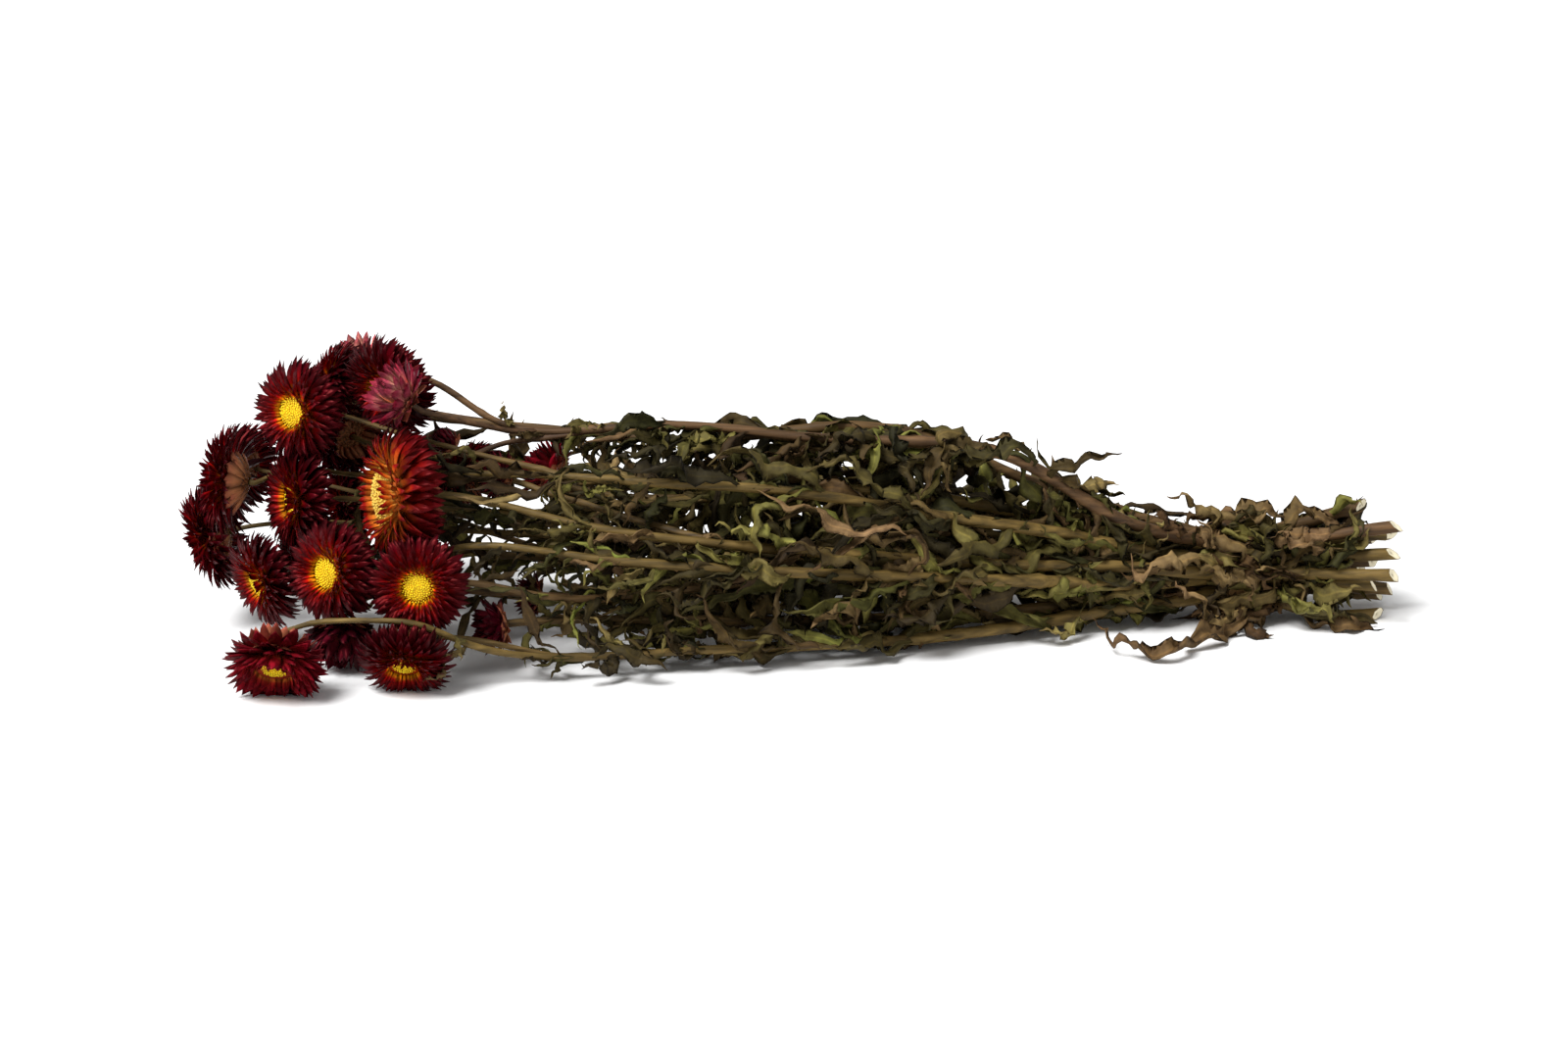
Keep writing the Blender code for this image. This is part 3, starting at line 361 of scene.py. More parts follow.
def seen(across_px, down_px, depth_mm):
    """The place on the bunch that shows at a pixel of the photograph, at a depth along Y."""
    right = np.array([math.cos(CAMERA_AZIMUTH), math.sin(CAMERA_AZIMUTH), 0.0])
    up = np.cross(CAMERA_BACK, right)
    focal_px = LENS_MM / SENSOR_MM * PHOTO_WIDTH_PX
    eye = np.array(CAMERA_TARGET) + CAMERA_BACK * CAMERA_DISTANCE
    across = (across_px - PHOTO_CENTRE[0]) / focal_px
    above = (PHOTO_CENTRE[1] - down_px) / focal_px
    ray = -CAMERA_BACK + right * across + up * above
    return eye + ray * ((depth_mm * MM - eye[1]) / ray[1])


def number_rows(table):
    """The rows of a table, each a list of groups of numbers; commas part the groups."""
    return [[[float(n) for n in group.split()] for group in row.split(",")]
            for row in table.strip().splitlines()]


def unit(vector):
    vector = np.asarray(vector, float)
    return vector / max(np.linalg.norm(vector), 1e-12)


def smooth_line(points, step):
    """A Catmull-Rom curve through the points, sampled about every step."""
    p = np.array(points, float)
    p = np.vstack([2 * p[0] - p[1], p, 2 * p[-1] - p[-2]])
    spans = (((0, 1), (1, 2), (2, 3)), ((0, 2), (1, 3)), ((1, 2),))
    line = []
    for four in zip(p, p[1:], p[2:], p[3:]):
        gaps = [np.linalg.norm(b - a) for a, b in zip(four, four[1:])]
        count = max(2, round(gaps[1] / step))
        knots = np.cumsum([0.0] + [max(gap, 1e-6) ** 0.5 for gap in gaps])
        for t in np.linspace(knots[1], knots[2], count, endpoint=False):
            stage = four
            for span in spans:
                stage = [a + (b - a) * (t - knots[i]) / (knots[j] - knots[i])
                         for a, b, (i, j) in zip(stage, stage[1:], span)]
            line.append(stage[0])
    line.append(p[-2])
    return np.array(line)


def heads():
    """Every head as a dict: where its stem joins, the way it faces, its scale and its form."""
    result = {}
    for table, middle in ((HEADS, seen), (FAR_HEADS, lambda *place: np.array(place) * MM)):
        for row in table.strip().splitlines():
            number, *numbers, form = row.split()
            numbers = [float(n) for n in numbers]
            facing = unit(numbers[3:6])
            scale = numbers[6] * MM / HEAD_RADIUS
            base = middle(*numbers[:3]) - facing * HEAD_MIDDLE * scale
            base[2] += HEAD_LIFTS.get(int(number), 0.0)
            result[int(number)] = {"base": base, "facing": facing, "scale": scale, "form": form}
    return result


def head_middle(head):
    """The place in a head that stems and leaves keep away from."""
    return head["base"] + head["facing"] * HEAD_KEEP_OUT * head["scale"]


def facing_frame(facing):
    """Rotation whose Z is the head's axis, with the same roll for every head."""
    z = unit(facing)
    x = unit(np.cross((0.31, 0.17, 0.93), z))
    return np.array([x, np.cross(z, x), z]).T


def stem_radius(x):
    """A stem's radius by its place along the bunch: thick at the cut, slender at the head."""
    share = min(max((x + 0.20) / (TIE_X + 0.20), 0.0), 1.0)
    radius = STEM_RADIUS_AT_HEAD + (STEM_RADIUS_AT_TIE - STEM_RADIUS_AT_HEAD) * share**0.8
    return radius * (1 + CUT_SWELL * min(max((x - TIE_X - 0.02) / CUT_LENGTH, 0.0), 1.0))


def stem_rows():
    """Every stem as a dict: its offset at the tie, its head, its stations and its branches."""
    result = {}
    for (stem, square, degrees, head), *groups in number_rows(STEM_TABLE):
        turn = math.radians(degrees)
        result[int(stem)] = {
            "offset": math.sqrt(square) * STEM_SPACING * np.array([math.cos(turn),
                                                                   math.sin(turn)]),
            "head": int(head),
            "stations": [group for group in groups if len(group) == 3],
            "branches": [(int(group[0]), group[1]) for group in groups if len(group) == 2],
        }
    return result


def stem_paths(all_heads):
    """Lines of the stems and branches, bent clear of each other and of the heads.

    Returns {(stem, head): points from the cut end, or from the parent stem, to the head}.
    """
    paths, fixed = {}, {}
    for stem, row in STEMS.items():
        offset, head = row["offset"], row["head"]
        tie = np.array([TIE_X, offset[0], TIE_HEIGHT + offset[1]])
        reach = CUT_LENGTH + 0.006 * math.sin(stem * 2.3)
        flare = CUT_FLARE - 1 + 0.16 * math.sin(stem * 4.1)
        cut = tie + (reach, offset[0] * flare, offset[1] * flare)
        points = [cut]
        if stem == FOOT_STEM:
            cut[2] = STEM_RADIUS_AT_TIE * math.cos(math.pi / STEM_SIDES)
            points = [cut, cut - (FOOT_LENGTH, 0, 0)]
        half = np.array([TIE_HALF_WIDTH * 1.8, 0, 0])
        points += [tie + half, tie - half]
        points += [seen(*station) for station in row["stations"]]
        points += approach(all_heads[head])
        line = paths[stem, head] = smooth_line(points, PATH_STEP)
        for branch_head, split_x in row["branches"]:
            start = next(i for i in range(len(line)) if line[i][0] < split_x * MM)
            ahead = line[start] + (line[min(start + 6, len(line) - 1)] - line[start]) * 0.8
            goal = approach(all_heads[branch_head])
            middle = ahead * 0.55 + goal[0] * 0.45
            paths[stem, branch_head] = smooth_line([line[start], middle, *goal], PATH_STEP)
    for (stem, head), line in paths.items():
        keep = line[:, 0] > TIE_X - 0.012
        keep[-3:] = True
        if head != STEMS[stem]["head"]:
            keep[:2] = True
        fixed[stem, head] = keep
    return settle(paths, fixed, all_heads)


def approach(head):
    """The last stations of a stem: it comes in along the head's own axis."""
    base = head["base"] - head["facing"] * SEAT_GAP
    return [base - head["facing"] * 0.016 + np.array([0.004, 0, 0]),
            base - head["facing"] * 0.006, base]


def settle(paths, fixed, all_heads):
    """Pushes the lines apart until stems clear stems and heads, and keeps them smooth."""
    for _ in range(SETTLE_ROUNDS):
        everything = np.vstack(list(paths.values()))
        owner, target = (np.concatenate([[key[side]] * len(line) for key, line in paths.items()])
                         for side in (0, 1))
        radius = np.array([stem_radius(p[0]) for p in everything])
        gap = everything[:, None] - everything[None]
        distance = np.linalg.norm(gap, axis=2) + 1e-9
        needed = (radius[:, None] + radius[None]) * 1.12 + STEM_GAP
        close = (distance < needed) & (owner[:, None] != owner[None])
        strength = np.where(close, (needed - distance) / distance, 0.0) * 0.5
        push = (gap * strength[:, :, None]).sum(1) / np.maximum(close.sum(1), 1)[:, None]
        for number, head in all_heads.items():
            away = everything - head_middle(head)
            along = away @ head["facing"]
            aside = away - np.outer(along, head["facing"])
            wide = HEAD_RADIUS * head["scale"] + 0.004
            deep = 0.013 * head["scale"] + 0.003
            size = np.sqrt((np.linalg.norm(aside, axis=1) / wide) ** 2 + (along / deep) ** 2)
            inside = (size < 1) & (target != number)
            out = aside / wide**2 + np.outer(along, head["facing"]) / deep**2
            out /= np.linalg.norm(out, axis=1)[:, None] + 1e-9
            push += out * np.where(inside, (1 - size) * deep * 0.6, 0.0)[:, None]
        push[:, 2] += np.maximum(radius + STEM_FLOOR_GAP - everything[:, 2], 0.0)
        start = 0
        for key, keep in fixed.items():
            line = paths[key]
            move = push[start:start + len(line)]
            start += len(line)
            move[keep] = 0
            for _ in range(3):
                move[1:-1] = (move[:-2] + 2 * move[1:-1] + move[2:]) / 4
                move[keep] = 0
            line = line + move
            relaxed = line.copy()
            relaxed[1:-1] = line[1:-1] * 0.8 + (line[:-2] + line[2:]) * 0.1
            relaxed[keep] = line[keep]
            paths[key] = relaxed
        for (stem, head), line in paths.items():
            if head != STEMS[stem]["head"]:
                parent = paths[stem, STEMS[stem]["head"]]
                line[0] = parent[np.argmin(np.linalg.norm(parent - line[0], axis=1))]
    return paths


def leaf_draw(stem, slot, attempt):
    """One seeded draw of how a leaf leaves its stem and curls."""
    draw = random.Random(LEAF_SEED * 100000 + stem * 5000 + slot * 100 + attempt)
    return {
        "turn": draw.uniform(0, 2 * math.pi),
        "length": draw.uniform(0.7, 1.2),
        "width": draw.uniform(0.75, 1.25),
        "rise": draw.uniform(0.12, 0.8),
        "bend": draw.uniform(-2.4, 2.4),
        "sway": draw.uniform(-1.5, 1.5),
        "twist": draw.uniform(-3.0, 3.0),
        "back": draw.random(),
        "shift": draw.uniform(-0.008, 0.008),
        "cup": draw.uniform(-0.42, 0.42),
    }


def leaf_slots():
    """(stem, slot, X, full length) of every leaf that a rule places."""
    for stem in STEMS:
        x = 0.232 + 0.012 * math.sin(stem * 1.7)
        slot = 0
        while x > -0.118:
            size = LEAF_LENGTH if x > 0 else LEAF_LENGTH * (1 + x / 0.19)
            if abs(x - TIE_X) > 0.012:
                yield stem, slot, x, size
            slot += 1
            x -= LEAF_SPACING + 0.010 * math.sin(slot * 2.1 + stem)


def drawn_leaf(line, x, size, draw):
    """Centre line, width directions and half width of a leaf grown from a stem's line."""
    start = int(np.argmin(np.abs(line[:, 0] - x - draw["shift"])))
    start = min(max(start, 1), len(line) - 2)
    along = unit(line[start + 1] - line[start - 1])
    if draw["back"] < (0.40 if x > 0.10 else 0.12):
        along = -along
    side = unit(np.cross(along, (0.0, 0.0, 1.0)))
    out = math.cos(draw["turn"]) * side + math.sin(draw["turn"]) * np.cross(side, along)
    heading = unit(along + out * draw["rise"])
    across = unit(np.cross(heading, out))
    length = size * draw["length"]
    steps = LEAF_STEPS - 1
    point, points, widths = line[start].copy(), [], []
    bend = -draw["rise"] * 0.9 + draw["bend"]
    for _ in range(LEAF_STEPS):
        points.append(point)
        widths.append(across)
        curl = (bend * np.cross(across, heading) + draw["sway"] * across) / steps
        heading = unit(heading + curl)
        across = unit(across - heading * (across @ heading))
        across = unit(across + np.cross(heading, across) * draw["twist"] / steps)
        point = point + heading * length / steps
    return np.array(points), np.array(widths), LEAF_SLIMNESS * size * draw["width"]


def seen_leaf(stations, trunk):
    """Centre line and width directions of a leaf placed from the photograph, on its stem."""
    line = smooth_line([seen(*station) for station in stations], 0.002)
    line = line[np.linspace(0, len(line) - 1, LEAF_STEPS).round().astype(int)]
    last = LEAF_STEPS - 1
    widths = []
    for i in range(LEAF_STEPS):
        ahead = unit(line[min(i + 1, last)] - line[max(i - 1, 0)])
        turn = 0.9 + 1.6 * i / last
        base = unit(np.cross(ahead, (0.2, 1.0, 0.35)))
        widths.append(unit(base * math.cos(turn) + np.cross(ahead, base) * math.sin(turn)))
    return hooked_on(line, trunk), np.array(widths)


def hooked_on(line, trunk):
    """A leaf's line with its root drawn to the nearest place on its stem."""
    nearest = np.argmin(np.linalg.norm(trunk - line[0], axis=1))
    return line + (trunk[nearest] - line[0]) * np.linspace(1, 0, LEAF_STEPS)[:, None] ** 2


def strays(points, trunk):
    """True if a leaf pokes out well beyond the outermost stems, or past their cut ends."""
    if max(p[0] for p in points) > LEAF_END_X:
        return True
    for p in points[::4]:
        near = np.array([line[np.argmin(np.abs(line[:, 0] - p[0]))] for line in trunk.values()])
        middle = near.mean(0)
        away = p[1:] - middle[1:]
        reach = np.linalg.norm(away)
        extent = ((near[:, 1:] - middle[1:]) @ (away / max(reach, 1e-6))).max()
        if reach > extent + LEAF_STRAY[int(p[0] > LEAF_STRAY_X)]:
            return True
    return False


def srgb(red, green, blue):
    """Linear colour from screen values of 0 to 255."""
    return tuple(c / 12.92 if c <= 0.04045 else ((c + 0.055) / 1.055) ** 2.4
                 for c in (red / 255, green / 255, blue / 255)) + (1.0,)


def linked(name, data):
    """A new object in the scene."""
    made = bpy.data.objects.new(name, data)
    bpy.context.scene.collection.objects.link(made)
    return made


class Sheets:
    """Gathers closed blades, tubes and knobs, with four looks values a vertex, for one mesh."""

    def __init__(self):
        self.vertices, self.looks, self.faces, self.count = [], [], [], 0

    def add(self, rings, faces, looks):
        """Adds rings of vertices; each of the four looks is a number or an array over them."""
        values = np.zeros((*rings.shape[:2], 4))
        for channel, value in enumerate(looks):
            values[..., channel] = value
        self.vertices.append(rings.reshape(-1, 3))
        self.looks.append(values.reshape(-1, 4))
        self.faces += [tuple(i + self.count for i in face) for face in faces]
        self.count += len(self.vertices[-1])

    def build(self, name, finish, slot, *nodes):
        vertices = np.vstack(self.vertices) + SHIFT
        vertices[:, 2] = np.maximum(vertices[:, 2], FLOOR_CLEARANCE)
        mesh = bpy.data.meshes.new(name)
        mesh.from_pydata(vertices.tolist(), [], self.faces)
        mesh.shade_smooth()
        looks = mesh.color_attributes.new("looks", "FLOAT_COLOR", "POINT")
        looks.data.foreach_set("color", np.vstack(self.looks).astype(np.float32).ravel())
        mesh.materials.append(finish)
        made = linked(name, mesh)
        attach(made, "root")
        if nodes:
            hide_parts(*nodes)


def strip_faces(sections, ring, closed=False):
    """Quads between rings of vertices, with a cap at each end unless the last joins the first."""
    faces = []
    for s in range(sections if closed else sections - 1):
        for k in range(ring):
            n = (k + 1) % ring
            a, b = s * ring, (s + 1) % sections * ring
            faces.append((a + k, a + n, b + n, b + k))
    if not closed:
        faces.append(tuple(range(ring))[::-1])
        faces.append(tuple((sections - 1) * ring + k for k in range(ring)))
    return faces


BRACT_FACES = strip_faces(BRACT_STEPS, 4)
BRACT_SHARE = np.linspace(0, 1, BRACT_STEPS)
FLORET_FACES = strip_faces(len(FLORET), 5)
LEAF_FACES = {steps: strip_faces(steps, 2 * LEAF_COLUMNS)
              for steps in ((LEAF_STEPS + 1) // 2, LEAF_STEPS, 2 * LEAF_STEPS - 1)}


def blade(line, across, normal, half, roll, ripple, thickness, columns):
    """Rings of a thin closed blade along a line, its section rolled into an arc and rippled.

    half, roll and thickness have one value a section; ripple one a section and column.
    """
    u = np.linspace(-1, 1, columns + 1)
    bend = roll[:, None] * u[None]
    safe = np.where(np.abs(roll) < 1e-3, 1e-3, roll)[:, None]
    side = half[:, None] * np.sin(safe * u) / safe
    rise = half[:, None] * (1 - np.cos(safe * u)) / safe + ripple
    top = line[:, None] + across[:, None] * side[..., None] + normal[:, None] * rise[..., None]
    down = -normal[:, None] * np.cos(bend)[..., None] + across[:, None] * np.sin(bend)[..., None]
    under = (top + down * (thickness[:, None] * (1 - 0.6 * u**2))[..., None])[:, -2:0:-1]
    return np.concatenate([top, under], axis=1)


def along_line(line):
    """Unit directions along a line of points."""
    ahead = np.gradient(line, axis=0)
    return ahead / np.linalg.norm(ahead, axis=1)[:, None]


def shape(table, share):
    """A share table, read off at other shares."""
    places, values = zip(*table)
    return np.interp(share, places, values)


def circle(count):
    """Angles evenly round a circle."""
    return np.linspace(0, 2 * math.pi, count, endpoint=False)


def turned(profile, sides):
    """Rings of vertices round the Z axis, one for each radius and height."""
    return np.array([[(r * math.cos(a), r * math.sin(a), z) for a in circle(sides)]
                     for r, z in profile])


def placer(head, fullness=1.0):
    """A function that takes points in mm from a head's own frame to their place on the bunch."""
    turn = facing_frame(head["facing"]).T
    scale = head["scale"] * MM * fullness
    return lambda points: (head["base"] + points.reshape(-1, 3) @ turn * scale).reshape(
        points.shape)


def bract(azimuth, tilt, step, root, height, half, cup, sway=0.0, roll=0.0):
    """Rings of one bract in its head's frame: it leaves the axis by its tilt at every step."""
    out = np.array([math.cos(azimuth), math.sin(azimuth), 0.0])
    side = np.array([-math.sin(azimuth), math.cos(azimuth), 0.0])
    up = np.array([0.0, 0.0, 1.0])
    run, climb = (np.concatenate([[0], np.cumsum(part(tilt[1:]) * step)])
                  for part in (np.cos, np.sin))
    line = (out * (root + run)[:, None] + up * (height + climb)[:, None]
            + side * (sway * BRACT_SHARE**2)[:, None])
    normal = up * np.cos(tilt)[:, None] - out * np.sin(tilt)[:, None]
    across = side * math.cos(roll) + normal * math.sin(roll)
    normal = normal * math.cos(roll) - side * math.sin(roll)
    return blade(line, across, normal, half, cup, np.zeros((BRACT_STEPS, 3)),
                 np.full(BRACT_STEPS, PAPER / MM), 2)


def fine_head(number, head):
    """All the bracts of a head on its core, as one mesh."""
    draw = np.random.default_rng(BRACT_SEED + number)
    place = placer(head, HEAD_FULLNESS * FULLER.get(number, 1.0))
    sheets = Sheets()
    [rows] = number_rows(FINE_FORMS["cup" if number in CUPPED else head["form"]])
    for n, (start, end, length, width, count, root, height) in enumerate(rows):
        if n < RINGS_LOST.get(number, 0):
            continue
        for k in range(int(count)):
            azimuth = 2 * math.pi * (k + 0.5 * (n % 2) + draw.uniform(-0.22, 0.22)) / count
            lean = math.radians(draw.normal(0, 5))
            tilt = np.radians(start + (end - start) * BRACT_SHARE**1.2) + lean
            step = length * draw.uniform(0.90, 1.04) / (BRACT_STEPS - 1)
            sway = draw.normal(0, 0.05) * length
            roll = draw.normal(0, 0.18)
            half = width / 2 * shape(BRACT_SHAPE, BRACT_SHARE) * draw.uniform(0.88, 1.1)
            cup = 0.55 + 0.5 * BRACT_SHARE + draw.uniform(-0.2, 0.2)
            rings = bract(azimuth, tilt, step, root, height, half, cup, sway, roll)
            looks = (BRACT_SHARE[:, None], n / (len(rows) - 1), draw.random(),
                     min(1.0, 0.3 + 0.4 * n + 0.5 * draw.random() * (n > 0)))
            sheets.add(place(rings), BRACT_FACES, looks)
    core = turned(CORES.get(head["form"], CORES["half"]), 20)
    sheets.add(place(core), strip_faces(len(core), 20), (0.15, 0.5, 0.5, 1.0))
    add_involucre(sheets, place, draw)
    finish = BRACT_FINISH[HEAD_TONES.get(number, "red")]
    sheets.build(f"head_{number:02d}_fine", finish, "bracts", f"head_{number:02d}_bracts")


def add_involucre(sheets, place, draw):
    """Short, dry, straw-coloured bracts that clasp the back of the head round the stem."""
    for n, (count, root, height, length) in enumerate(INVOLUCRE):
        for k in range(count):
            azimuth = 2 * math.pi * (k + 0.5 * n + draw.uniform(-0.2, 0.2)) / count
            tilt = np.radians(22 + 20 * BRACT_SHARE + draw.normal(0, 5))
            half = 2.9 * shape(BRACT_SHAPE, BRACT_SHARE**1.6)
            rings = bract(azimuth, tilt, length / (BRACT_STEPS - 1), root, height - 0.5, half,
                          np.full(BRACT_STEPS, 0.5))
            sheets.add(place(rings), BRACT_FACES,
                       (BRACT_SHARE[:, None], 0, draw.random(), 0))


def fine_disc(number, head):
    """The disc's florets, in a sunflower spiral over a low dome."""
    draw = np.random.default_rng(FLORET_SEED + number)
    place = placer(head)
    old = head["form"] == "old"
    radius, rise, count = (9.6, 4.4, 260) if old else (6.5, 2.6, 135)
    sheets = Sheets()
    dome = turned([(radius * 0.97 * r, 9.3 + (rise - 0.7) * z) for r, z in DOME], 24)
    sheets.add(place(dome), strip_faces(len(dome), 24), (0.5, 0.3, 0.3, 1.0))
    for k in range(count):
        share = math.sqrt((k + 0.5) / count)
        azimuth = k * GOLDEN_ANGLE
        spot = np.array([radius * share * math.cos(azimuth), radius * share * math.sin(azimuth),
                         9.2 + (rise - 0.9) * (1 - share**3)])
        lean = np.array([math.cos(azimuth) * share * 0.75, math.sin(azimuth) * share * 0.75, 1.0])
        lean = unit(lean + draw.normal(0, 0.10, 3))
        first = unit(np.cross(lean, (0.3, 1, 0.1)))
        second = np.cross(lean, first)
        tall, thick = draw.uniform(0.9, 1.5), draw.uniform(0.32, 0.44)
        rings = np.array([[spot + lean * height * tall + thick * wide
                           * (math.cos(t) * first + math.sin(t) * second) for t in circle(5)]
                          for height, wide, _ in FLORET])
        along = np.array([look for _, _, look in FLORET])[:, None]
        sheets.add(place(rings), FLORET_FACES,
                   (along, share, draw.random(), 1))
    finish = DISC_FINISH["old" if old else "red"]
    sheets.build(f"head_{number:02d}_florets", finish, "discs", f"head_{number:02d}_disc")


def fine_stem(stem, paths):
    """A stem with its branches: ridged, knotted at the leaves, and pale where it is cut."""
    draw = np.random.default_rng(BARK_SEED + stem)
    sheets = Sheets()
    around = circle(BARK_SIDES)
    for key, line in paths.items():
        if key[0] != stem:
            continue
        main_stem = key[1] == STEMS[stem]["head"]
        line = line if len(line) < 8 else smooth_line(line[::2].tolist() + [line[-1]], 0.0034)
        ahead = along_line(line)
        ahead[-1] = ahead[-2]
        side = np.cross(ahead, (0.0, 0.0, 1.0))
        side /= np.linalg.norm(side, axis=1)[:, None]
        top = np.cross(side, ahead)
        radius = np.array([stem_radius(p[0]) for p in line]) * (1.0 if main_stem else 0.8)
        length = np.concatenate([[0], np.cumsum(np.linalg.norm(np.diff(line, axis=0), axis=1))])
        phase = draw.uniform(0, 6.28, 4)
        swell = (1 + 0.05 * np.sin(length * 190 + phase[0]) + 0.04 * np.sin(length * 83 + phase[1]))
        for _ in range(int(length[-1] / 0.045)):
            swell += 0.22 * np.exp(-((length - draw.uniform(0, length[-1])) / 0.0022) ** 2)
        ridges = 6 if main_stem else 4
        ribs = 1 + 0.075 * np.cos(ridges * around[None] + phase[2] + 9 * length[:, None])
        slim = STEM_SLIMNESS * (1 - 0.12 * np.clip((line[:, 0] - TIE_X) / 0.03, 0, 1))
        reach = np.minimum((radius * swell * slim)[:, None] * ribs, radius[:, None] * 1.2)
        rings = (line[:, None] + reach[..., None] * (np.cos(around)[None, :, None] * top[:, None]
                 + np.sin(around)[None, :, None] * side[:, None]))
        pith = np.zeros(len(rings))
        if main_stem:
            slant = draw.uniform(0.7, 1.4)
            turn = draw.uniform(-1.9, -0.3)
            rings[0] += ahead[0] * (slant * reach[0] * np.cos(around - turn))[:, None]
            middle = rings[0].mean(0)
            face = [middle + (rings[0] - middle) * wide - ahead[0] * deep
                    for wide, deep in ((0.12, -0.0012), (0.3, -0.0003), (0.86, 0.0))]
            rings = np.concatenate([face, rings])
            length = np.concatenate([np.zeros(3), length])
            pith = np.concatenate([(0.4, 1.0, 1.0), pith])
        brown = STEM_BROWN.get(stem, 0.25) + (0.0 if main_stem else 0.2)
        sheets.add(rings, strip_faces(len(rings), BARK_SIDES),
                   (length[:, None] / 0.5, brown, 0.5 + 0.5 * np.cos(around), pith[:, None]))
    sheets.build(f"stem_{stem:02d}_fine", STEM_FINISH, "stems_and_leaves",
                 f"leafy_stem_{stem:02d}")


def fine_leaf(sheets, points, across, half_width, brown, seed, crumple=1.0):
    """A dried leaf on its centre line: buckled, twisted, its edges rolled and puckered."""
    draw = np.random.default_rng(seed)
    length = np.linalg.norm(np.diff(points, axis=0), axis=1).sum()
    if length > LONG_LEAF:
        more = np.linspace(0, 1, 2 * LEAF_STEPS - 1)
        fewer = np.linspace(0, 1, len(points))
        points, across = (np.array([np.interp(more, fewer, column) for column in grid.T]).T
                          for grid in (points, across))
    share = np.linspace(0, 1, len(points))
    waves = max(1.0, length / 0.055)

    def wobble(slowest, fastest):
        return np.sin(share * waves * draw.uniform(slowest, fastest) + draw.uniform(0, 6.28))

    ahead = along_line(points)
    across = across - ahead * (across * ahead).sum(1)[:, None]
    across /= np.linalg.norm(across, axis=1)[:, None]
    normal = np.cross(across, ahead)
    twist = (crumple * (0.45 * wobble(6, 11) + 0.30 * wobble(13, 24)) * np.sqrt(share))[:, None]
    across, normal = (across * np.cos(twist) + normal * np.sin(twist),
                      normal * np.cos(twist) - across * np.sin(twist))
    start = np.minimum(1, 5 * share) * crumple * half_width
    buckle = start * (0.34 * wobble(9, 15) + 0.20 * wobble(20, 32))
    sway = start * (0.20 * wobble(8, 14) + 0.12 * wobble(18, 30))
    line = points + normal * buckle[:, None] + across * sway[:, None]
    half = half_width * shape(LEAF_SHAPE, share)
    half *= 1 + 0.12 * wobble(9, 16) + 0.10 * wobble(30, 46)
    roll = draw.uniform(0.7, 2.2) * draw.choice((-1, 1)) + 0.8 * wobble(5, 12)
    u = np.linspace(-1, 1, LEAF_COLUMNS + 1)
    phase = draw.uniform(0, 6.28, 4)
    wave = sum(np.sin(share[:, None] * turns + shift + slant * u) * np.abs(u) ** power * size
               for shift, (turns, slant, power, size) in zip(phase, LEAF_WAVES))
    ripple = half[:, None] * wave - 0.12 * half[:, None] * (np.abs(u) < 0.1)
    rings = blade(line, across, normal, half, roll, ripple, LEAF_PAPER * (1 - 0.5 * share),
                  LEAF_COLUMNS)
    looks = (share[:, None], np.clip(brown + 0.25 * share[:, None] ** 3, 0, 1),
             np.abs(np.concatenate([u, u[-2:0:-1]])), draw.random())
    sheets.add(rings, LEAF_FACES[len(points)], looks)


def packed_vertices(stem):
    """A tree of the vertices of a packed leafy stem, which tells where its leaf tips are."""
    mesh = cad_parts[f"leafy_stem_{stem:02d}"].data
    tree = KDTree(len(mesh.vertices))
    for vertex in mesh.vertices:
        tree.insert(vertex.co, vertex.index)
    tree.balance()
    return tree


def leaves(paths, all_heads):
    """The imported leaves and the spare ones, a mesh for each stem."""
    trunk = {stem: paths[stem, row["head"]] for stem, row in STEMS.items()}
    packed = {stem: packed_vertices(stem) for stem in STEMS}
    sheets = {stem: Sheets() for stem in STEMS}
    hue = random.Random(HUE_SEED)
    for first_seed, table in ((0, SEEN_LEAVES), (FINE_CRUMPLE, FINE_LEAVES)):
        for seed, (leaf, *stations) in enumerate(number_rows(table), first_seed):
            stem, width, brown = leaf if len(leaf) == 3 else (*leaf, hue.uniform(0.1, 0.7))
            line, across = seen_leaf(stations, trunk[stem])
            fine_leaf(sheets[stem], line, across, width * MM / 2, brown, seed)
    for stem, slot, x, size in leaf_slots():
        for attempt in range(LEAF_TRIES):
            points, across, half = drawn_leaf(trunk[stem], x, size, leaf_draw(stem, slot, attempt))
            if packed[stem].find(Vector(points[-1] + SHIFT))[2] < TIP_MATCH:
                fine_leaf(sheets[stem], points, across, half, hue.betavariate(1.0, 2.0),
                          SLOT_CRUMPLE * stem + slot, 0.8)
                break
    for stem in STEMS:
        draw = random.Random(SPARE_SEED + stem)
        for k in range(SPARE_LEAVES + MORE_SPARE_LEAVES * (stem in LEAFY_STEMS)):
            x = draw.uniform(*SPARE_X)
            size = LEAF_LENGTH * (1.0 if x > 0 else 1 + x / 0.16) * 0.95
            for attempt in range(SPARE_TRIES):
                wild = leaf_draw(stem + SPARE_DRAWS, k, attempt)
                points, across, half = drawn_leaf(trunk[stem], x, size, wild)
                rises = stem in TOP_STEMS and points[-1, 2] > points[0, 2] + HANGING_LIMIT
                if not (rises or strays(points, trunk)) and free(points, half, all_heads):
                    fine_leaf(sheets[stem], points, across, half, hue.betavariate(1.0, 2.0),
                              SPARE_CRUMPLE + stem * 100 + k)
                    break
        add_small_leaves(sheets[stem], trunk[stem], stem, all_heads)
    add_tie_leaves(sheets, trunk)
    for stem, pile in sheets.items():
        pile.build(f"leaves_{stem:02d}_fine", LEAF_FINISH, "stems_and_leaves")


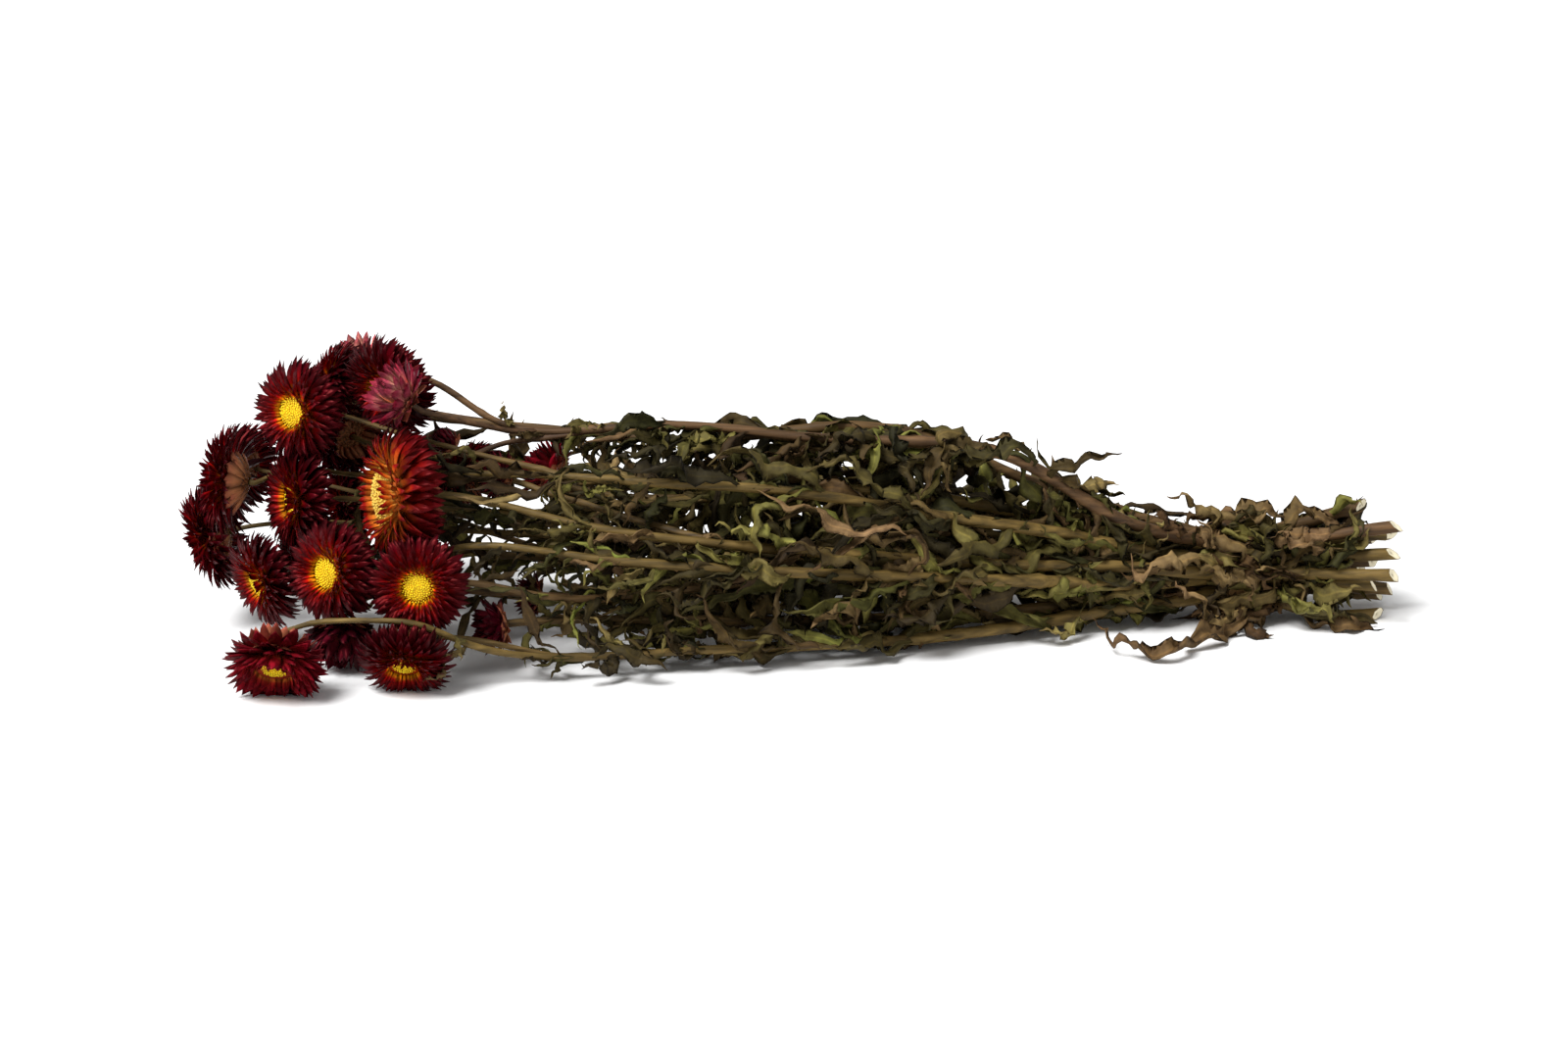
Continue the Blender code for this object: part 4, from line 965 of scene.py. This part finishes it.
def add_small_leaves(sheets, line, stem, all_heads):
    """Narrow leaves, a few centimetres long, on the slender stretch below the head."""
    draw = random.Random(SMALL_SEED + stem)
    for k in range(SMALL_LEAVES + MORE_SMALL_LEAVES * (stem in LEAFY_STEMS[1:])):
        x, size = draw.uniform(*SMALL_X), draw.uniform(*SMALL_LENGTH)
        for attempt in range(SMALL_TRIES):
            wild = leaf_draw(stem + SMALL_DRAWS, k, attempt)
            points, across, half = drawn_leaf(line, x, size, wild)
            if free(points[4:], half, all_heads) and points[:, 2].max() < SMALL_LEAF_CEILING:
                fine_leaf(sheets, points[::2], across[::2], half, draw.uniform(0, 0.8),
                          SMALL_CRUMPLE * stem + k)
                break


def add_tie_leaves(sheets, trunk):
    """Dry leaves that start on both sides of the band, lie over it all round and hide it."""
    draw = random.Random(TIE_SEED)
    for k in range(TIE_LEAVES):
        angle = 2 * math.pi * (k * 0.382 + draw.uniform(-0.03, 0.03))
        side = 1 if draw.random() < 0.6 else -1
        start_x = TIE_X + side * draw.uniform(0.010, 0.024)
        end_x = TIE_X - side * draw.uniform(0.010, 0.030)
        line, across = [], []
        swing, lift = draw.uniform(-0.9, 0.9), draw.uniform(0.0, 0.009)
        height = draw.uniform(0.0055, 0.0095)
        for t in np.linspace(0, 1, LEAF_STEPS):
            x = start_x + (end_x - start_x) * t + 0.003 * math.sin(9 * t + k)
            spread = TIE_SPREAD + height * math.sin(math.pi * min(1.3 * t, 1) * 0.9) + lift * t**2
            a = angle + swing * t + 0.15 * math.sin(8 * t + 2 * k)
            line.append((x, spread * math.cos(a), TIE_HEIGHT + spread * math.sin(a)))
            turn = 0.5 * math.sin(5 * t + k)
            across.append((0.3 * turn, -math.sin(a) + turn * math.cos(a),
                           math.cos(a) + turn * math.sin(a)))
        line = np.array(line)
        stem = min(trunk, key=lambda s: np.linalg.norm(trunk[s] - line[0], axis=1).min())
        half = draw.uniform(0.0045, 0.0072)
        fine_leaf(sheets[stem], hooked_on(line, trunk[stem]), np.array(across), half,
                  draw.uniform(0.3, 1.1), TIE_CRUMPLE + k, 0.9)


def free(points, half, all_heads):
    """True if a spare leaf keeps off the ground, the heads and the band."""
    if points[:, 2].min() < half * 0.7:
        return False
    for head in all_heads.values():
        reach = np.linalg.norm(points - head_middle(head), axis=1).min()
        if reach < HEAD_RADIUS * head["scale"] * 0.9:
            return False
    near = points[np.abs(points[:, 0] - TIE_X) < TIE_HALF_WIDTH + 0.002]
    spread = np.hypot(near[:, 1], near[:, 2] - TIE_HEIGHT)
    return not (spread < BUNCH_RADIUS + BAND_CLEARANCE).any()


def fine_band():
    """The rubber band: strands side by side, pulled tight round the stems."""
    sheets = Sheets()
    around, across = circle(BAND_SEGMENTS)[:, None], circle(BAND_SIDES)[None]
    radius = BUNCH_RADIUS + BAND_GAP + BAND_THICKNESS * 0.5 * (1 + np.sin(across)) + 0.0001
    strand_half = TIE_HALF_WIDTH / BAND_STRANDS
    for strand in range(BAND_STRANDS):
        middle = TIE_X + (strand - (BAND_STRANDS - 1) / 2) * 2 * strand_half
        drift = 0.0005 * np.sin(2 * around + strand * 2.1)
        rings = np.stack([middle + drift + strand_half * 0.98 * np.cos(across),
                          radius * np.cos(around), TIE_HEIGHT + radius * np.sin(around)], axis=2)
        sheets.add(rings, strip_faces(BAND_SEGMENTS, BAND_SIDES, True), (0.5, 0.5, 0.5, 1.0))
    sheets.build("tie_band_fine", BAND_FINISH, "band", "tie_band")


class Finish:
    """A material under construction: a Principled shader and short calls that feed it."""

    def __init__(self, name, constants):
        self.made = bpy.data.materials.new(name)
        self.made.use_nodes = True
        self.tree = self.made.node_tree
        self.shader = self.tree.nodes["Principled BSDF"]
        for socket, value in constants.items():
            self.shader.inputs[socket].default_value = value

    def node(self, kind, inputs, **settings):
        """A new node; each of its inputs is a constant or the output of another node."""
        made = self.tree.nodes.new(kind)
        for key, value in settings.items():
            setattr(made, key, value)
        for socket, value in inputs.items():
            if isinstance(value, bpy.types.NodeSocket):
                self.tree.links.new(value, made.inputs[socket])
            else:
                made.inputs[socket].default_value = value
        return made

    def looks(self):
        """The red, green, blue and alpha of the mesh's looks attribute."""
        outputs = self.node("ShaderNodeAttribute", {}, attribute_name="looks").outputs
        parts = self.node("ShaderNodeSeparateColor", {0: outputs["Color"]})
        return [*parts.outputs[:3], outputs["Alpha"]]

    def ramp(self, factor, *stops):
        """Colours along a factor; each stop is its place and its colour."""
        made = self.node("ShaderNodeValToRGB", {0: factor})
        elements = made.color_ramp.elements
        while len(elements) < len(stops):
            elements.new(0.5)
        for element, (place, colour) in zip(elements, stops):
            element.position = place
            element.color = (*colour[:3], 1.0)
        return made.outputs["Color"]

    def mix(self, factor, first, second, blend="MIX"):
        return self.node("ShaderNodeMix", {0: factor, 6: first, 7: second}, data_type="RGBA",
                         blend_type=blend).outputs[2]

    def noise(self, scale, detail=4.0, stretch=(1, 1, 1)):
        place = self.node("ShaderNodeTexCoord", {}).outputs["Object"]
        vector = self.node("ShaderNodeMapping", {0: place, "Scale": stretch}).outputs[0]
        return self.node("ShaderNodeTexNoise", {"Scale": scale, "Detail": detail,
                                                "Vector": vector}).outputs["Fac"]

    def bump(self, height, strength):
        made = self.node("ShaderNodeBump", {"Strength": strength, "Distance": 0.0005,
                                            "Height": height})
        self.tree.links.new(made.outputs[0], self.shader.inputs["Normal"])

    def colour(self, source):
        self.tree.links.new(source, self.shader.inputs["Base Color"])
        return self.made


def bract_finish(name, tip, body, root, glow):
    """Papery bracts: dark at the tip, brighter and then yellow at the root of inner rings."""
    made = Finish(name, {"Roughness": 0.42, "Specular IOR Level": 0.45,
                         "Specular Tint": srgb(255, 96, 96)})
    tip, body, root, glow = srgb(*tip), srgb(*body), srgb(*root), srgb(*glow)
    along, ring, chance, fresh = made.looks()
    outer = made.ramp(along, (0.0, root), (0.36, body), (0.8, tip), (1.0, tip))
    inner = made.ramp(along, (0.0, glow), (0.42, root), (0.72, body), (1.0, tip))
    inward = made.ramp(ring, (0.45, (0, 0, 0)), (0.92, (1, 1, 1)))
    colour = made.mix(inward, outer, inner)
    shade = made.ramp(chance, (0.0, (0.45, 0.45, 0.5)), (0.8, (1.2, 1.1, 1.1)),
                      (1.0, (2.1, 1.8, 1.8)))
    colour = made.mix(1.0, colour, shade, "MULTIPLY")
    speck = made.ramp(made.noise(900.0), (0.35, (0.6, 0.6, 0.6)), (0.7, (1.3, 1.3, 1.3)))
    colour = made.mix(0.6, colour, speck, "MULTIPLY")
    straw = made.ramp(along, (0.0, srgb(110, 74, 44)), (0.5, srgb(184, 124, 84)),
                      (1.0, srgb(166, 92, 72)))
    made.bump(made.noise(700.0, 2.0), 0.25)
    return made.colour(made.mix(fresh, straw, colour))


def disc_finish(name, low, high):
    """Florets: darker at the foot, each a shade of its own."""
    made = Finish(name, {"Roughness": 0.7})
    along, _, chance, _ = made.looks()
    colour = made.ramp(along, (0.0, low), (0.7, high), (1.0, high))
    shade = made.ramp(chance, (0.0, (0.8, 0.74, 0.6)), (1.0, (1.1, 1.1, 1.1)))
    return made.colour(made.mix(1.0, colour, shade, "MULTIPLY"))


def leaf_finish():
    """Dried leaves: olive to brown by the leaf, mottled, with a paler rib and darker edges."""
    made = Finish("dried_leaf", {"Roughness": 0.72, "Specular IOR Level": 0.18})
    _, brown, aside, chance = made.looks()
    olive = made.ramp(chance, (0.0, srgb(30, 30, 11)), (0.5, srgb(62, 61, 24)),
                      (0.85, srgb(92, 92, 38)), (1.0, srgb(114, 122, 50)))
    tan = made.ramp(chance, (0.0, srgb(42, 29, 15)), (0.5, srgb(80, 58, 34)),
                    (1.0, srgb(130, 103, 72)))
    mottle = made.ramp(made.noise(260.0, 6.0), (0.3, (0.55, 0.5, 0.45)), (0.7, (1.35, 1.35, 1.3)))
    colour = made.mix(0.85, made.mix(brown, olive, tan), mottle, "MULTIPLY")
    rib = made.ramp(aside, (0.0, (1.5, 1.45, 1.3)), (0.16, (1, 1, 1)), (0.85, (1, 1, 1)),
                    (1.0, (0.7, 0.62, 0.5)))
    made.bump(made.noise(520.0, 5.0), 0.6)
    return made.colour(made.mix(1.0, colour, rib, "MULTIPLY"))


def stem_finish():
    """Stems: olive to brown bark in long streaks, and cream pith at the cut."""
    made = Finish("stem_bark", {"Roughness": 0.62, "Specular IOR Level": 0.25})
    _, brown, _, pith = made.looks()
    streak = made.noise(420.0, 5.0, (0.06, 1, 1))
    olive = made.ramp(streak, (0.3, srgb(66, 54, 20)), (0.7, srgb(128, 106, 52)))
    bark = made.ramp(streak, (0.3, srgb(50, 33, 20)), (0.7, srgb(108, 78, 52)))
    patch = made.ramp(made.noise(45.0, 3.0), (0.35, (0.7, 0.68, 0.62)), (0.65, (1.15, 1.15, 1.1)))
    colour = made.mix(0.8, made.mix(brown, olive, bark), patch, "MULTIPLY")
    made.bump(streak, 0.5)
    return made.colour(made.mix(pith, colour, srgb(236, 226, 196)))


def plain_finish(name, colour, roughness):
    """One colour with a faint mottle."""
    made = Finish(name, {"Roughness": roughness})
    tint = made.mix(made.noise(300.0), colour, tuple(c * 0.96 for c in colour[:3]) + (1.0,))
    return made.colour(tint)


def studio():
    """Pale floor, white surround and two soft lights."""
    floor = bpy.data.meshes.new("floor")
    corners = ((-1, -1), (1, -1), (1, 1), (-1, 1))
    floor.from_pydata([(x * FLOOR_REACH, y * FLOOR_REACH, 0) for x, y in corners], [],
                      [(0, 1, 2, 3)])
    floor.materials.append(FLOOR_FINISH)
    linked("floor", floor)
    world = bpy.context.scene.world = bpy.data.worlds.new("surround")
    world.use_nodes = True
    surround = world.node_tree.nodes["Background"].inputs
    surround["Color"].default_value = (1, 1, 1, 1)
    surround["Strength"].default_value = SURROUND_STRENGTH
    for name, place, strength, softness in LIGHTS:
        lamp = bpy.data.lights.new(name, "SUN")
        lamp.energy = strength
        lamp.angle = math.radians(softness)
        linked(name, lamp).rotation_euler = Vector(place).to_track_quat("Z", "Y").to_euler()


def camera():
    """The photograph's camera."""
    lens = bpy.data.cameras.new("camera")
    lens.lens, lens.sensor_width = LENS_MM, SENSOR_MM
    lens.clip_start = 0.05
    back = Vector(CAMERA_BACK)
    made = linked("camera", lens)
    made.location = Vector(CAMERA_TARGET) + Vector(SHIFT) + back * CAMERA_DISTANCE
    made.rotation_euler = back.to_track_quat("Z", "Y").to_euler()
    bpy.context.scene.camera = made


low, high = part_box("tie_band")
SHIFT = (np.array(low) + np.array(high)) / 2 - (TIE_X, 0.0, TIE_HEIGHT)
SHIFT[2] = 0.0

STEMS = stem_rows()
LEAF_FINISH = leaf_finish()
STEM_FINISH = stem_finish()
BAND_FINISH = plain_finish("tan_rubber", srgb(172, 132, 84), 0.55)
FLOOR_FINISH = plain_finish("pale_floor", (0.95, 0.95, 0.95, 1.0), 0.9)

# Colours of a head's bracts at the tip, along the body, at the root and inside
BRACT_FINISH = {
    tone: bract_finish(f"bract_{name}", *colours) for tone, name, *colours in (
        ("red", "dark_red", (46, 1, 8), (78, 3, 10), (170, 18, 8), (244, 176, 20)),
        # rose: head 18's own pink-red; on head 13 it is dark red with painted pink sheen, lighter
        # all over
        ("rose_and_sheen", "rose_red_and_painted_sheen", (96, 8, 22), (122, 16, 28), (166, 44, 36), (226, 150, 60)),
        ("old", "faded_red", (72, 4, 9), (146, 20, 12), (214, 120, 36), (234, 196, 92)),
        ("faded", "pale_pink", (150, 58, 70), (214, 150, 130), (236, 196, 160), (232, 190, 130)),
        ("pink", "pink", (104, 14, 36), (176, 78, 96), (236, 186, 150), (232, 190, 130)),
        ("plum", "plum", (50, 4, 16), (80, 8, 26), (130, 40, 50), (190, 120, 76)),
    )
}
DISC_FINISH = {
    "red": disc_finish("disc_yellow", srgb(226, 160, 10), srgb(250, 226, 14)),
    "old": disc_finish("disc_straw", srgb(206, 148, 40), srgb(240, 206, 90)),
}

all_heads = heads()
paths = stem_paths(all_heads)
for number, head in all_heads.items():
    fine_head(number, head)
    if head["form"] in ("open", "old"):
        fine_disc(number, head)
for stem in STEMS:
    fine_stem(stem, paths)
leaves(paths, all_heads)
fine_band()
studio()
camera()
bpy.context.scene.view_settings.view_transform = "Standard"
